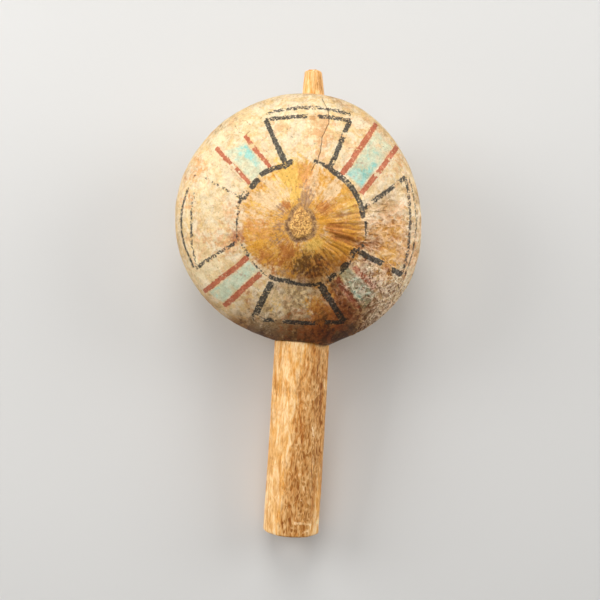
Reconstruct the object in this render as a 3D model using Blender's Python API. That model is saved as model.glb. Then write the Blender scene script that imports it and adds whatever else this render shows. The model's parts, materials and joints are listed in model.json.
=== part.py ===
"""Gourd rattle: a flattened, hollow gourd threaded on one whittled stick.

The stick's thick end is the handle. Its thin shaft runs across the gourd and comes out
at the far side as a short peg. The rattle lies on its back, on a small flat spot under
the gourd and on the lower rim of the handle's end.

Three frames are used. The gourd's frame has +Z along its stem axis. The rattle's frame
has the stick along +Y, handle at -Y, with the gourd's painted face up. The world frame is
the rattle tilted until it rests on the floor, Z = 0, with the flat spot at the origin.
"""

import math

import bmesh
import bpy
from mathutils import Matrix, Vector, noise

MM = 0.001

# Gourd
GOURD_RADIUS = 63.4 * MM  # across the stem axis
FRONT_DEPTH = 37.0 * MM  # middle plane to the painted face, without the boss
BACK_DEPTH = 40.0 * MM  # middle plane to the back
ROUNDNESS = 0.89  # exponent of the section: 1 is an ellipse, less is squarer
WALL = 4.0 * MM
GOURD_SHIFT = -5.0 * MM  # the gourd's centre sits this far to one side of the stick
GOURD_LEAN = math.radians(3.5)  # stem axis, leaning towards the handle
GOURD_TURN = math.radians(1.5)  # stem axis, leaning sideways
STEM_SHIFT = 3.2 * MM  # the stem sits this much closer to the handle than the middle

# Slow waves of the outline: turns per circle, share of the radius, phase
OUTLINE_WAVES = ((2, 0.006, 97.0), (3, 0.017, 125.0), (4, 0.005, 131.0))

# Boss round the stem, and the stem's scar
BOSS_HEIGHT = 6.0 * MM
BOSS_RADIUS = 24.0 * MM
SCAR_RADIUS = 6.6 * MM
SCAR_GROOVE_DEPTH = 0.9 * MM
SCAR_GROOVE_WIDTH = 1.5 * MM
SCAR_CORNERS = 6
NUB_HEIGHT = 1.2 * MM  # blossom end, at the back
NUB_RADIUS = 4.0 * MM

# Pleats of the dried skin, which run out from the stem
PLEATS = 21
PLEAT_DEPTH = 0.9 * MM
PLEAT_MIDDLE = 22.0 * MM
PLEAT_SPREAD = 11.0 * MM
PLEAT_SIDE = math.radians(-20)  # the side of the stem where they are deepest
LUMP_HEIGHT = 0.7 * MM
LUMP_SIZE = 26.0 * MM

# Lip, where the skin has been pressed out over the handle's shoulder
LIP_HEIGHT = 5.5 * MM
LIP_ACROSS = 10.0 * MM
LIP_UP = 14.0 * MM
LIP_REACH_ACROSS = 15.6 * MM
LIP_REACH_UP = 12.0 * MM

# Stick
HANDLE_END = 160.0 * MM  # gourd's centre to the handle's sawn end
HANDLE_RADIUS = 14.3 * MM
HANDLE_TAPER = 0.3 * MM  # how much thinner the handle is at the gourd
END_ROUND = 1.2 * MM
SHOULDER = 62.0 * MM  # gourd's centre to the handle's flat shoulder
SHAFT_RADIUS = 9.0 * MM
PEG_ROOT = 61.5 * MM  # gourd's centre to where the peg leaves it
PEG_ROOT_RADIUS = 6.0 * MM
PEG_TIP = 77.0 * MM
PEG_TIP_RADIUS = 4.5 * MM
PEG_BEND = 2.3 * MM  # how far the bent branch carries the peg's tip to one side
WHITTLE = 0.025  # share of the radius that the knife cuts and the wood's bend move it

# Fit and resting pose
GAP = 0.3 * MM
SEAT_ROOM = 0.6 * MM  # between the handle's side and the lip
FLAT_DEPTH = 0.9 * MM  # the flat spot's depth under the round back
RIM_WEAR = 0.25 * MM  # worn off the handle's rim where it rests

# Facets
AROUND = 84
ROWS = 38
POLE_CROWDING = 0.5  # rows lie closer together near both poles
STEM_CROWDING = 1.2  # and more so near the stem
CAVITY_AROUND = 28
CAVITY_ROWS = 14
STICK_AROUND = 28


def clear_scene():
    """Remove whatever the startup scene holds."""
    for obj in list(bpy.data.objects):
        bpy.data.objects.remove(obj, do_unlink=True)


def collection(name):
    """A new collection in the scene."""
    made = bpy.data.collections.new(name)
    bpy.context.scene.collection.children.link(made)
    return made


def material(name, colour, roughness):
    """A Principled material of one colour (linear RGB)."""
    made = bpy.data.materials.new(name)
    made.use_nodes = True
    shader = made.node_tree.nodes["Principled BSDF"]
    shader.inputs["Base Color"].default_value = (*colour, 1.0)
    shader.inputs["Roughness"].default_value = roughness
    shader.inputs["Metallic"].default_value = 0.0
    made.diffuse_color = (*colour, 1.0)
    return made


def mesh_object(name, mesh_data, group, surface=None):
    """An object in a collection, smooth apart from its sharp edges."""
    obj = bpy.data.objects.new(name, mesh_data)
    group.objects.link(obj)
    mesh_data.shade_smooth()
    mesh_data.set_sharp_from_angle(angle=math.radians(40))
    if surface:
        obj.data.materials.append(surface)
    return obj


def bell(distance, width):
    """A smooth hump: 1 at no distance, falling to nothing past about two widths."""
    return math.exp(-((distance / width) ** 2))


# --- Gourd ---------------------------------------------------------------------------


def row_angle(share):
    """Polar angle of a row of the gourd's skin, crowded towards the two poles."""
    share = share**STEM_CROWDING
    return math.pi * (share - POLE_CROWDING * math.sin(2 * math.pi * share) / (2 * math.pi))


def outline(around):
    """The outline's radius as a share of the gourd's radius."""
    return 1 + sum(
        share * math.cos(turns * around + math.radians(phase))
        for turns, share, phase in OUTLINE_WAVES
    )


def plain_skin(polar, around):
    """The gourd's smooth form, in its own frame. Polar 0 is the stem, pi the blossom end."""
    sine = max(math.sin(polar), 0.0)
    out = GOURD_RADIUS * sine**ROUNDNESS * (1 + (outline(around) - 1) * sine)
    cosine = math.cos(polar)
    depth = FRONT_DEPTH if cosine > 0 else BACK_DEPTH
    height = math.copysign(depth * abs(cosine) ** ROUNDNESS, cosine)
    if cosine > 0:
        height += BOSS_HEIGHT * bell(out, BOSS_RADIUS)
    else:
        height -= NUB_HEIGHT * bell(out, NUB_RADIUS)
    return Vector((out * math.cos(around), out * math.sin(around), height))


def scar_groove(out, around):
    """Depth of the cornered groove round the corky scar that the stem left."""
    corner = 1 - 0.08 * abs(math.sin(SCAR_CORNERS * around / 2))
    return SCAR_GROOVE_DEPTH * bell(out - SCAR_RADIUS * corner, SCAR_GROOVE_WIDTH)


def pleat(out, around):
    """Depth of the soft pleats, which are deepest at one side of the stem."""
    fade = bell(out - PLEAT_MIDDLE, PLEAT_SPREAD) * (1 - bell(out, SCAR_RADIUS))
    wander = 0.7 * math.sin(2 * around + 0.6) + 0.5 * math.sin(3 * around)
    valley = 0.5 + 0.5 * math.cos(PLEATS * around + wander)
    side = 0.5 + 0.5 * math.cos(around - PLEAT_SIDE)
    return PLEAT_DEPTH * fade * (0.15 + 0.85 * side**2) * valley


def lip(point):
    """How far the skin stands out over the handle's shoulder, towards the handle."""
    across = (point.x - LIP_ACROSS) / LIP_REACH_ACROSS
    up = (point.z - LIP_UP) / LIP_REACH_UP
    return LIP_HEIGHT * bell(math.hypot(across, up), 1.0) if point.y < 0 else 0.0


def lopsided(point):
    """Move the stem end towards the handle, and the middle of the gourd not at all."""
    rise = max(point.z, 0.0) / (FRONT_DEPTH + BOSS_HEIGHT)
    return point - Vector((0, STEM_SHIFT * rise**2, 0))


def skin(polar, around):
    """The gourd's outside with its scar, pleats, lumps and lip, in its own frame."""
    point = plain_skin(polar, around)
    out = point.xy.length
    lump = LUMP_HEIGHT * noise.noise(point / LUMP_SIZE)
    pressed_out = Vector((0, -lip(point), 0))
    if math.cos(polar) > 0:
        point.z -= scar_groove(out, around) + pleat(out, around)
    return lopsided(point + point.normalized() * lump) + pressed_out


def cavity(polar, around):
    """The gourd's inside, which lacks the scar, pleats, lumps and lip."""
    point = plain_skin(polar, around)
    inner_radius = (GOURD_RADIUS - WALL) / GOURD_RADIUS
    depth = (FRONT_DEPTH + BOSS_HEIGHT) if point.z > 0 else BACK_DEPTH
    inner_depth = (depth - WALL) / depth
    inner = Vector((point.x * inner_radius, point.y * inner_radius, point.z * inner_depth))
    return lopsided(inner)


def round_mesh(name, form, around_count, row_count):
    """A sphere primitive whose rows and columns are moved onto a form."""
    bm = bmesh.new()
    bmesh.ops.create_uvsphere(bm, u_segments=around_count, v_segments=row_count, radius=1.0)
    for vert in bm.verts:
        share = math.acos(max(-1.0, min(1.0, vert.co.z))) / math.pi
        around = math.atan2(vert.co.y, vert.co.x)
        vert.co = form(row_angle(share), around)
    bmesh.ops.recalc_face_normals(bm, faces=bm.faces)
    made = bpy.data.meshes.new(name)
    bm.to_mesh(made)
    bm.free()
    return made


# --- Stick ---------------------------------------------------------------------------


def stick_profile():
    """Half outline of the stick as (place along it, radius), from the peg's tip to the end."""
    handle_top_radius = HANDLE_RADIUS - HANDLE_TAPER
    rounding = [
        (
            -HANDLE_END + END_ROUND * (1 - math.sin(angle)),
            HANDLE_RADIUS - END_ROUND * (1 - math.cos(angle)),
        )
        for angle in (math.radians(a) for a in (0, 30, 60, 90))
    ]
    return [
        (PEG_TIP, 0.0),
        (PEG_TIP, 0.72 * PEG_TIP_RADIUS),
        (PEG_TIP - 1.0 * MM, PEG_TIP_RADIUS),
        (PEG_ROOT, PEG_ROOT_RADIUS),
        (0.0, 0.5 * (PEG_ROOT_RADIUS + SHAFT_RADIUS)),
        (-SHOULDER, SHAFT_RADIUS),
        (-SHOULDER, handle_top_radius - 0.6 * MM),
        (-SHOULDER - 0.6 * MM, handle_top_radius),
        *[
            (
                -SHOULDER + share * (SHOULDER - HANDLE_END),
                handle_top_radius + share * HANDLE_TAPER,
            )
            for share in (0.14, 0.28, 0.42, 0.56, 0.70, 0.85)
        ],
        *rounding,
        (-HANDLE_END, 0.0),
    ]


def hole_profile():
    """Half outline of the hole that the shaft and the peg need, with room to spare."""
    spare = GAP + WHITTLE * SHAFT_RADIUS
    return [
        (PEG_TIP, 0.0),
        (PEG_TIP, PEG_ROOT_RADIUS + spare),
        (PEG_ROOT, PEG_ROOT_RADIUS + spare),
        (0.0, 0.5 * (PEG_ROOT_RADIUS + SHAFT_RADIUS) + spare),
        (-SHOULDER - 5 * MM, SHAFT_RADIUS + spare),
        (-SHOULDER - 5 * MM, 0.0),
    ]


def seat_profile():
    """Half outline of the flat seat that the handle's shoulder bears on."""
    seat_radius = HANDLE_RADIUS * (1 + WHITTLE) + SEAT_ROOM
    return [
        (GAP - SHOULDER, 0.0),
        (GAP - SHOULDER, seat_radius),
        (-SHOULDER - 10 * MM, seat_radius),
        (-SHOULDER - 10 * MM, 0.0),
    ]


def bent(point):
    """A point of a straight turned shape moved as the branch bends, towards the peg."""
    bend = PEG_BEND * (max(point.y, 0.0) / PEG_TIP) ** 2
    return Vector((point.x - bend, point.y, point.z))


def whittled(point):
    """A point of the turned stick moved as the knife leaves it, and then bent."""
    around = math.atan2(point.z, point.x)
    along = point.y / HANDLE_END
    cuts = math.cos(2 * around + 0.8 + 1.5 * along) + 0.6 * math.cos(5 * around + 4 * along)
    factor = 1 + WHITTLE * 0.5 * cuts
    return bent(Vector((point.x * factor, point.y, point.z * factor)))


def turned_mesh(name, profile, shape):
    """A half outline turned round the stick's axis, with each point then moved by a shape."""
    bm = bmesh.new()
    verts = [bm.verts.new((radius, along, 0.0)) for along, radius in profile]
    for first, second in zip(verts, verts[1:]):
        bm.edges.new((first, second))
    bmesh.ops.spin(
        bm,
        geom=bm.verts[:] + bm.edges[:],
        cent=(0, 0, 0),
        axis=(0, 1, 0),
        angle=2 * math.pi,
        steps=STICK_AROUND,
        use_merge=True,
    )
    bmesh.ops.remove_doubles(bm, verts=bm.verts[:], dist=0.01 * MM)
    for vert in bm.verts:
        vert.co = shape(vert.co)
    bmesh.ops.recalc_face_normals(bm, faces=bm.faces)
    made = bpy.data.meshes.new(name)
    bm.to_mesh(made)
    bm.free()
    return made


# --- Cutters -------------------------------------------------------------------------


def cutter(name, group, data):
    """A helper object that isn't part of the rattle."""
    obj = bpy.data.objects.new(name, data)
    group.objects.link(obj)
    obj.hide_render = True
    obj.display_type = "WIRE"
    return obj


def floor_cutter(group):
    """Everything under the floor."""
    side = 4 * HANDLE_END
    bm = bmesh.new()
    bmesh.ops.create_cube(bm, size=side)
    bmesh.ops.translate(bm, vec=(0, 0, -side / 2), verts=bm.verts)
    data = bpy.data.meshes.new("floor_cutter")
    bm.to_mesh(data)
    bm.free()
    return cutter("floor_cutter", group, data)


def cut(obj, tool):
    """Cut a tool's shape from an object."""
    modifier = obj.modifiers.new(f"cut_{tool.name}", "BOOLEAN")
    modifier.operation = "DIFFERENCE"
    modifier.solver = "EXACT"
    modifier.object = tool


# --- Resting pose --------------------------------------------------------------------


def gourd_matrix():
    """The gourd's place in the rattle's frame."""
    lean = Matrix.Rotation(GOURD_LEAN, 4, "X")
    turn = Matrix.Rotation(GOURD_TURN, 4, "Y")
    return Matrix.Translation((GOURD_SHIFT, 0, 0)) @ lean @ turn


def lowest(points, tilt):
    """The lowest of these points of the rattle's frame, once it is tilted."""
    turned = Matrix.Rotation(tilt, 4, "X")
    return min((turned @ point for point in points), key=lambda point: point.z)


def resting_matrix(skin_points, stick_points):
    """Tilt and shift that set the flat spot at the origin and the handle's rim on the floor."""
    low_tilt, high_tilt = 0.0, math.radians(30)
    for _ in range(40):
        tilt = (low_tilt + high_tilt) / 2
        floor = lowest(skin_points, tilt).z + FLAT_DEPTH
        if lowest(stick_points, tilt).z > floor - RIM_WEAR:
            low_tilt = tilt
        else:
            high_tilt = tilt
    bottom = lowest(skin_points, tilt)
    shift = Matrix.Translation((-bottom.x, -bottom.y, -bottom.z - FLAT_DEPTH))
    return shift @ Matrix.Rotation(tilt, 4, "X")


def main():
    """Build the gourd and the stick, and lay them on the floor."""
    clear_scene()
    rattle = collection("gourd_rattle")
    cutters = collection("cutters")

    paint = material("painted_gourd", (0.62, 0.42, 0.22), 0.7)
    wood = material("whittled_wood", (0.55, 0.32, 0.14), 0.65)
    skin_data = round_mesh("gourd_shell", skin, AROUND, ROWS)
    gourd = mesh_object("gourd_shell", skin_data, rattle, paint)
    stick_data = turned_mesh("handle_stick", stick_profile(), whittled)
    stick = mesh_object("handle_stick", stick_data, rattle, wood)

    frame = bpy.data.objects.new("rattle_frame", None)
    rattle.objects.link(frame)
    place = gourd_matrix()
    skin_points = [place @ vert.co for vert in gourd.data.vertices]
    stick_points = [vert.co.copy() for vert in stick.data.vertices]
    frame.matrix_world = resting_matrix(skin_points, stick_points)

    hollow_data = round_mesh("hollow", cavity, CAVITY_AROUND, CAVITY_ROWS)
    hollow = cutter("hollow", cutters, hollow_data)
    hole = cutter("shaft_hole", cutters, turned_mesh("shaft_hole", hole_profile(), bent))
    seat = cutter("handle_seat", cutters, turned_mesh("handle_seat", seat_profile(), bent))
    gourd.parent = hollow.parent = frame
    gourd.matrix_local = hollow.matrix_local = place
    for obj in (stick, hole, seat):
        obj.parent = frame
    floor = floor_cutter(cutters)
    bpy.context.view_layer.update()
    for tool in (floor, hollow, hole, seat):
        cut(gourd, tool)
    cut(stick, floor)


main()
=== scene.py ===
"""The looks of a gourd rattle: a painted gourd and the whittled stick that carries it.

Three frames are used. The gourd's frame has +Z along its stem axis, which points out of the
painted face. The rattle's frame has the stick along +Y, from the handle to the peg. The world
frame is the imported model's. Shapes are worked out in millimetres, and meshes are in metres.
"""

from __future__ import annotations

import json
import logging
import math
from collections.abc import Iterable
from dataclasses import dataclass, field
from enum import Enum
from functools import reduce
from typing import Any

import bpy
import numpy as np
from bpy.types import Material, Mesh, Node, Object
from bpy.types import NodeSocket as Socket
from mathutils import Matrix, Vector, noise


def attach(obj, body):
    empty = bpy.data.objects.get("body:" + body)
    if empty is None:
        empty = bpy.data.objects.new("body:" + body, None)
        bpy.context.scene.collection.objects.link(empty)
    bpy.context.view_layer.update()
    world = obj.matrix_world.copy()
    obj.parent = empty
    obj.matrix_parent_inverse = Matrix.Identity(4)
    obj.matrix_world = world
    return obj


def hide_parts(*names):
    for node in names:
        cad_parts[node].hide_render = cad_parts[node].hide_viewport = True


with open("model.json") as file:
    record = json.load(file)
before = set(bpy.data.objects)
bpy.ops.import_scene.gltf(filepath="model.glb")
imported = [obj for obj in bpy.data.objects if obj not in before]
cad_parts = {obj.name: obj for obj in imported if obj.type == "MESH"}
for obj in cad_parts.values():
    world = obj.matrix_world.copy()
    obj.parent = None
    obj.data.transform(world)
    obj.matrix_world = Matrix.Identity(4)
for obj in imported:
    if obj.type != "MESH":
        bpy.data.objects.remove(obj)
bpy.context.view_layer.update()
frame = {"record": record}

LOG = logging.getLogger("gourd_rattle")
MM = 0.001
TURN = 2 * math.pi
FAR = 9.0  # millimetres, for a place that no stroke or crack is near
ARC_POINTS = 9

Array = np.ndarray
Colour = tuple[float, float, float]
Pair = tuple[float, float]
Point = tuple[float, float]
Input = Socket | float | Colour


# --- Small tools ---


def bell(distance: Array, width: float) -> Array:
    """A smooth hump: 1 at no distance, falling to nothing past about two widths."""
    return np.exp(-((distance / width) ** 2))


def smooth(value: Array, low: float, high: float) -> Array:
    """0 below low, 1 above high, and a smooth step between them."""
    share = np.clip((value - low) / (high - low), 0, 1)
    return share * share * (3 - 2 * share)


def ripple(points: Array, size: float, shift: float = 0.0) -> Array:
    """Smooth lumps of -1 to 1.

    Args:
        points: One row of three coordinates for each place.
        size: Length of one lump, in the unit of the points.
        shift: Moves the pattern, so that two patterns differ.

    Returns:
        One value for each place.
    """
    scaled = (points.reshape(-1, 3) / size + shift).tolist()
    values = np.fromiter((noise.noise(place) for place in scaled), float, len(scaled))
    return values.reshape(points.shape[:-1])


def ridges(points: Array, size: float, shift: float = 0.0) -> Array:
    """Narrow crests of 1 between wide valleys that go down to 0."""
    return 1 - np.minimum(np.abs(ripple(points, size, shift)) * 3, 1)


def net(places: Array, size: float, shift: float = 0.0) -> Array:
    """Narrow crests of 1 between uneven cells, falling to 0 inside them.

    Args:
        places: One row of three coordinates for each place.
        size: Size of one cell, in the unit of the places.
        shift: Moves the pattern, so that two patterns differ.

    Returns:
        One value for each place.
    """
    scaled = (places.reshape(-1, 3) / size + shift).tolist()
    nearest = (noise.voronoi(place)[0] for place in scaled)
    gaps = np.fromiter((far[1] - far[0] for far in nearest), float, len(scaled))
    return 1 - np.minimum(gaps.reshape(places.shape[:-1]) * 3, 1)


def flat_points(across: Array, along: Array) -> Array:
    """Places of a plane as rows of three coordinates."""
    return np.stack([across, along, np.zeros_like(across)], axis=-1)


def long_grain(around: Array, radius: float, along: Array) -> Array:
    """Places round a cylinder, where even lumps come out long once along is shortened."""
    return np.stack([np.cos(around) * radius, np.sin(around) * radius, along], axis=-1)


def shifted(points: Array, axis: int, amount: Array) -> Array:
    """Move points along one axis.

    Args:
        points: One row of three coordinates for each place.
        axis: Number of the axis, from 0 to 2.
        amount: How far each place moves.

    Returns:
        The moved points.
    """
    out = points.copy()
    out[..., axis] += amount
    return out


def moved(points: Array, matrix: Matrix) -> Array:
    """The points carried by a matrix."""
    held = np.array(matrix)
    return points @ held[:3, :3].T + held[:3, 3]


def grid_mesh(name: str, rows: Array, first: Array, last: Array) -> Mesh:
    """A closed mesh of rings, with a point at each end.

    Args:
        name: Name of the mesh.
        rows: Rings of points, as an array of rows, columns and coordinates.
        first: The point that closes the first ring.
        last: The point that closes the last ring.

    Returns:
        The mesh, with its faces turned outwards.
    """
    count, around = rows.shape[:2]
    points = np.concatenate([rows.reshape(-1, 3), [first], [last]])
    column = np.arange(around)
    after = (column + 1) % around
    start = np.arange(count - 1)[:, None] * around
    quads = np.stack(
        [start + column, start + after, start + around + after, start + around + column], -1
    ).reshape(-1, 4)
    top, bottom = count * around, count * around + 1
    end = (count - 1) * around
    caps = [(top, b, a) for a, b in zip(column.tolist(), after.tolist())]
    caps += [(bottom, end + a, end + b) for a, b in zip(column.tolist(), after.tolist())]
    mesh = bpy.data.meshes.new(name)
    mesh.from_pydata(points.tolist(), [], [tuple(q[::-1]) for q in quads.tolist()] + caps)
    corners = np.array([tuple(mesh.vertices[i].co) for i in mesh.polygons[0].vertices])
    middle = points.mean(axis=0)
    if np.dot(np.array(mesh.polygons[0].normal), corners.mean(axis=0) - middle) < 0:
        mesh.flip_normals()
    return mesh


def solid(name: str, mesh: Mesh) -> Object:
    """Put a mesh in the scene, smooth apart from its sharp edges.

    Args:
        name: Name of the object.
        mesh: The object's mesh.

    Returns:
        The object.
    """
    piece = bpy.data.objects.new(name, mesh)
    bpy.context.scene.collection.objects.link(piece)
    mesh.shade_smooth()
    return piece


def cut_away(piece: Object, tools: list[Mesh]) -> None:
    """Cut shapes from a piece, and keep the result as its mesh.

    Args:
        piece: The piece that is cut.
        tools: Closed meshes of the shapes that are taken away.
    """
    helpers = [solid(f"tool_{tool.name}", tool) for tool in tools]
    for helper in helpers:
        modifier = piece.modifiers.new(helper.name, "BOOLEAN")
        modifier.operation = "DIFFERENCE"
        modifier.solver = "EXACT"
        modifier.object = helper
    graph = bpy.context.evaluated_depsgraph_get()
    piece.data = bpy.data.meshes.new_from_object(piece.evaluated_get(graph))
    piece.modifiers.clear()
    for helper in helpers:
        bpy.data.objects.remove(helper, do_unlink=True)


def coordinates(mesh: Mesh) -> Array:
    """Read where the points of a mesh are.

    Args:
        mesh: The mesh.

    Returns:
        One row of three coordinates for each point.
    """
    flat = np.empty(len(mesh.vertices) * 3, np.float32)
    mesh.vertices.foreach_get("co", flat)
    return flat.reshape(-1, 3).astype(float)


def write_values(mesh: Mesh, name: str, values: Array) -> None:
    """Store a number, or three, on each point of a mesh for its material to read.

    Args:
        mesh: The mesh.
        name: Name under which the material reads the values.
        values: One number, or one row of three, for each point.
    """
    if values.ndim == 1:
        layer = mesh.attributes.new(name, "FLOAT", "POINT")
        layer.data.foreach_set("value", values.astype(np.float32))
    else:
        layer = mesh.attributes.new(name, "FLOAT_VECTOR", "POINT")
        layer.data.foreach_set("vector", values.astype(np.float32).ravel())


# --- Materials ---


class Surface:
    """A Principled material that is drawn one node at a time."""

    CLOUD_ROUGHNESS = 0.6
    LEAST_DEPTH = 0.8
    WORM_EDGES = (0.28, 0.04)
    PATCH_MOST = 1.5
    PATCH_CLOUDS = 7.0
    PATCH_LEVEL = -3.85
    SPECULAR = 0.3

    def __init__(self, name: str) -> None:
        """Start a material.

        Args:
            name: Name of the material.
        """
        self.material = bpy.data.materials.new(name)
        self.material.use_nodes = True
        self.tree = self.material.node_tree
        self.shader = self.tree.nodes["Principled BSDF"]

    def node(self, kind: str, inputs: dict[str | int, Input], **settings: Any) -> Node:
        """Add a node.

        Args:
            kind: Blender's name for the node, without "ShaderNode".
            inputs: What each input, by name or number, gets: an output or a plain value.
            settings: Settings of the node itself.

        Returns:
            The node.
        """
        made = self.tree.nodes.new(f"ShaderNode{kind}")
        for name, value in settings.items():
            setattr(made, name, value)
        for place, value in inputs.items():
            if isinstance(value, Socket):
                self.tree.links.new(value, made.inputs[place])
            elif isinstance(value, tuple) and made.inputs[place].type == "RGBA":
                made.inputs[place].default_value = (*value, 1.0)
            else:
                made.inputs[place].default_value = value
        return made

    def field(self, name: str) -> Socket:
        """A number stored on the mesh."""
        return self.node("Attribute", {}, attribute_name=name).outputs["Fac"]

    def place(self, name: str) -> Socket:
        """Three coordinates stored on the mesh."""
        return self.node("Attribute", {}, attribute_name=name).outputs["Vector"]

    def mottle(
        self, where: Socket, size: float, seed: float = 0, detail: float = 3, warp: float = 0
    ) -> Socket:
        """Cloudy values of about 0.3 to 0.7.

        Args:
            where: The coordinates.
            size: Size of the largest clouds, in the unit of the coordinates.
            seed: Makes clouds of the same size differ.
            detail: Number of smaller sizes laid over them.
            warp: How much the clouds are drawn out into wisps.

        Returns:
            The clouds' output.
        """
        inputs = {
            "Vector": where,
            "W": seed,
            "Scale": 1 / size,
            "Detail": detail,
            "Roughness": self.CLOUD_ROUGHNESS,
            "Distortion": warp,
        }
        return self.node("TexNoise", inputs, noise_dimensions="4D").outputs[0]

    def maths(self, operation: str, *values: Input) -> Socket:
        """A sum done on outputs or numbers."""
        inputs = dict(enumerate(values))
        return self.node("Math", inputs, operation=operation).outputs[0]

    def product(self, *values: Input) -> Socket:
        """The product of outputs or numbers."""
        return reduce(lambda one, other: self.maths("MULTIPLY", one, other), values)

    def total(self, *terms: tuple[Input, float]) -> Socket:
        """Add up outputs, each times its own weight.

        Args:
            terms: Pairs of an output, or a number, and its weight.

        Returns:
            The sum's output.
        """
        running: Input = 0.0
        for value, weight in terms:
            running = self.maths("MULTIPLY_ADD", value, weight, running)
        return running

    def step(
        self, value: Input, low: float, high: float, start: float = 0, end: float = 1
    ) -> Socket:
        """A smooth step from start to end as the value goes from low to high."""
        inputs = {0: value, 1: low, 2: high, 3: start, 4: end}
        return self.node("MapRange", inputs, interpolation_type="SMOOTHSTEP").outputs[0]

    def deepened(self, colour: Input, depth: Input) -> Socket:
        """A colour made darker and fuller where the depth is more than 1."""
        held = self.maths("MAXIMUM", depth, self.LEAST_DEPTH)
        return self.node("Gamma", {0: colour, 1: held}).outputs[0]

    def shaded(self, colour: Input, brightness: Input) -> Socket:
        """A colour made brighter or darker."""
        return self.mix(1.0, colour, brightness, "MULTIPLY")

    def worms(self, where: Socket, size: float, seed: float, width: float) -> Socket:
        """Short winding lines of 1 on 0.

        Args:
            where: The coordinates.
            size: Distance between lines, about, in the unit of the coordinates.
            seed: Makes lines of the same size differ.
            width: Width of the lines, as a share of their distance.

        Returns:
            The lines' output.
        """
        outer, inner = self.WORM_EDGES
        clouds = self.mottle(where, size=size, seed=seed, detail=1, warp=0.5)
        level = self.maths("ABSOLUTE", self.maths("SUBTRACT", clouds, 0.5))
        return self.step(level, outer * width, inner * width)

    def patch(
        self, amount: Input, clouds: Socket, top: float = 1.0, edge: float = 0.2
    ) -> Socket:
        """Turn a soft amount into a patch whose edge the clouds break up.

        Args:
            amount: 0 outside the patch and about 1 in its middle.
            clouds: The clouds that break up the edge.
            top: Greatest share.
            edge: Softness of the edge.

        Returns:
            The patch's share.
        """
        amount = self.maths("MINIMUM", amount, self.PATCH_MOST)
        broken = self.total((amount, 1.0), (clouds, self.PATCH_CLOUDS), (1.0, self.PATCH_LEVEL))
        share = self.step(broken, 0.5 - edge, 0.5 + edge, 0, top)
        return self.product(share, self.step(amount, 0.02, 0.3))

    def mix(self, share: Input, under: Input, over: Input, way: str = "MIX") -> Socket:
        """One colour laid over another, or blended with it in another way."""
        inputs = {0: share, 6: under, 7: over}
        return self.node("Mix", inputs, data_type="RGBA", blend_type=way).outputs[2]

    def finish(
        self, colour: Input, roughness: Input, height: Input, depth: float
    ) -> Material:
        """Give the shader its colour, roughness and relief.

        Args:
            colour: The colour's output.
            roughness: The roughness, as an output or a number.
            height: The relief's output, 0 to 1.
            depth: Height of the relief, in millimetres.

        Returns:
            The finished material.
        """
        links = self.tree.links
        links.new(colour, self.shader.inputs["Base Color"])
        if isinstance(roughness, Socket):
            links.new(roughness, self.shader.inputs["Roughness"])
        else:
            self.shader.inputs["Roughness"].default_value = roughness
        bump = self.node("Bump", {"Height": height, "Distance": depth * MM, "Strength": 1.0})
        links.new(bump.outputs[0], self.shader.inputs["Normal"])
        self.shader.inputs["Metallic"].default_value = 0.0
        self.shader.inputs["Specular IOR Level"].default_value = self.SPECULAR
        return self.material


# --- The painted pattern ---


class Paint(Enum):
    """The paints of the stroked pattern, in the order in which they are laid."""

    TURQUOISE = "turquoise"
    RED = "red"
    BLACK = "black"
    SCRATCH = "scratch"


@dataclass(frozen=True)
class Stroke:
    """One brush stroke on the face, through points given in millimetres from the stem."""

    paint: Paint
    path: tuple[Point, ...]
    width: float
    kept: float = 0.8

    def gap(self, across: Array, along: Array) -> Array:
        """Distance from each place to the stroke's edge, less than 0 inside it.

        Args:
            across: Places on the face, to the right of the stem.
            along: Places on the face, from the stem towards the peg.

        Returns:
            The distances. The stroke's two ends are square, as a flat brush leaves them.
        """
        half = self.width / 2
        nearest = np.full(across.shape, np.inf)
        last = len(self.path) - 2
        for index, ((x0, y0), (x1, y1)) in enumerate(zip(self.path, self.path[1:])):
            length = math.hypot(x1 - x0, y1 - y0)
            run_x, run_y = (x1 - x0) / length, (y1 - y0) / length
            place = (across - x0) * run_x + (along - y0) * run_y
            side = np.abs((across - x0) * run_y - (along - y0) * run_x)
            beyond = np.maximum(np.maximum(-place, place - length), 0)
            joint = np.hypot(side, beyond) - half
            end = (place < 0) & (index == 0) | (place > length) & (index == last)
            nearest = np.minimum(nearest, np.where(end, np.maximum(side - half, beyond), joint))
        return nearest


@dataclass(frozen=True)
class Wash:
    """A four-sided area that is brushed in with thin paint."""

    paint: Paint
    corners: tuple[Point, Point, Point, Point]
    kept: float = 0.8

    def gap(self, across: Array, along: Array) -> Array:
        """Distance from each place to the area's edge, less than 0 inside it.

        Args:
            across: Places on the face, to the right of the stem.
            along: Places on the face, from the stem towards the peg.

        Returns:
            The distances.
        """
        middle = np.mean(self.corners, axis=0)
        found = np.full(across.shape, -np.inf)
        for start, end in zip(self.corners, self.corners[1:] + self.corners[:1]):
            run = np.subtract(end, start)
            normal = np.array([run[1], -run[0]]) / np.hypot(*run)
            normal *= -np.sign(np.dot(middle - np.array(start), normal))
            side = (across - start[0]) * normal[0] + (along - start[1]) * normal[1]
            found = np.maximum(found, side)
        return found


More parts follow.
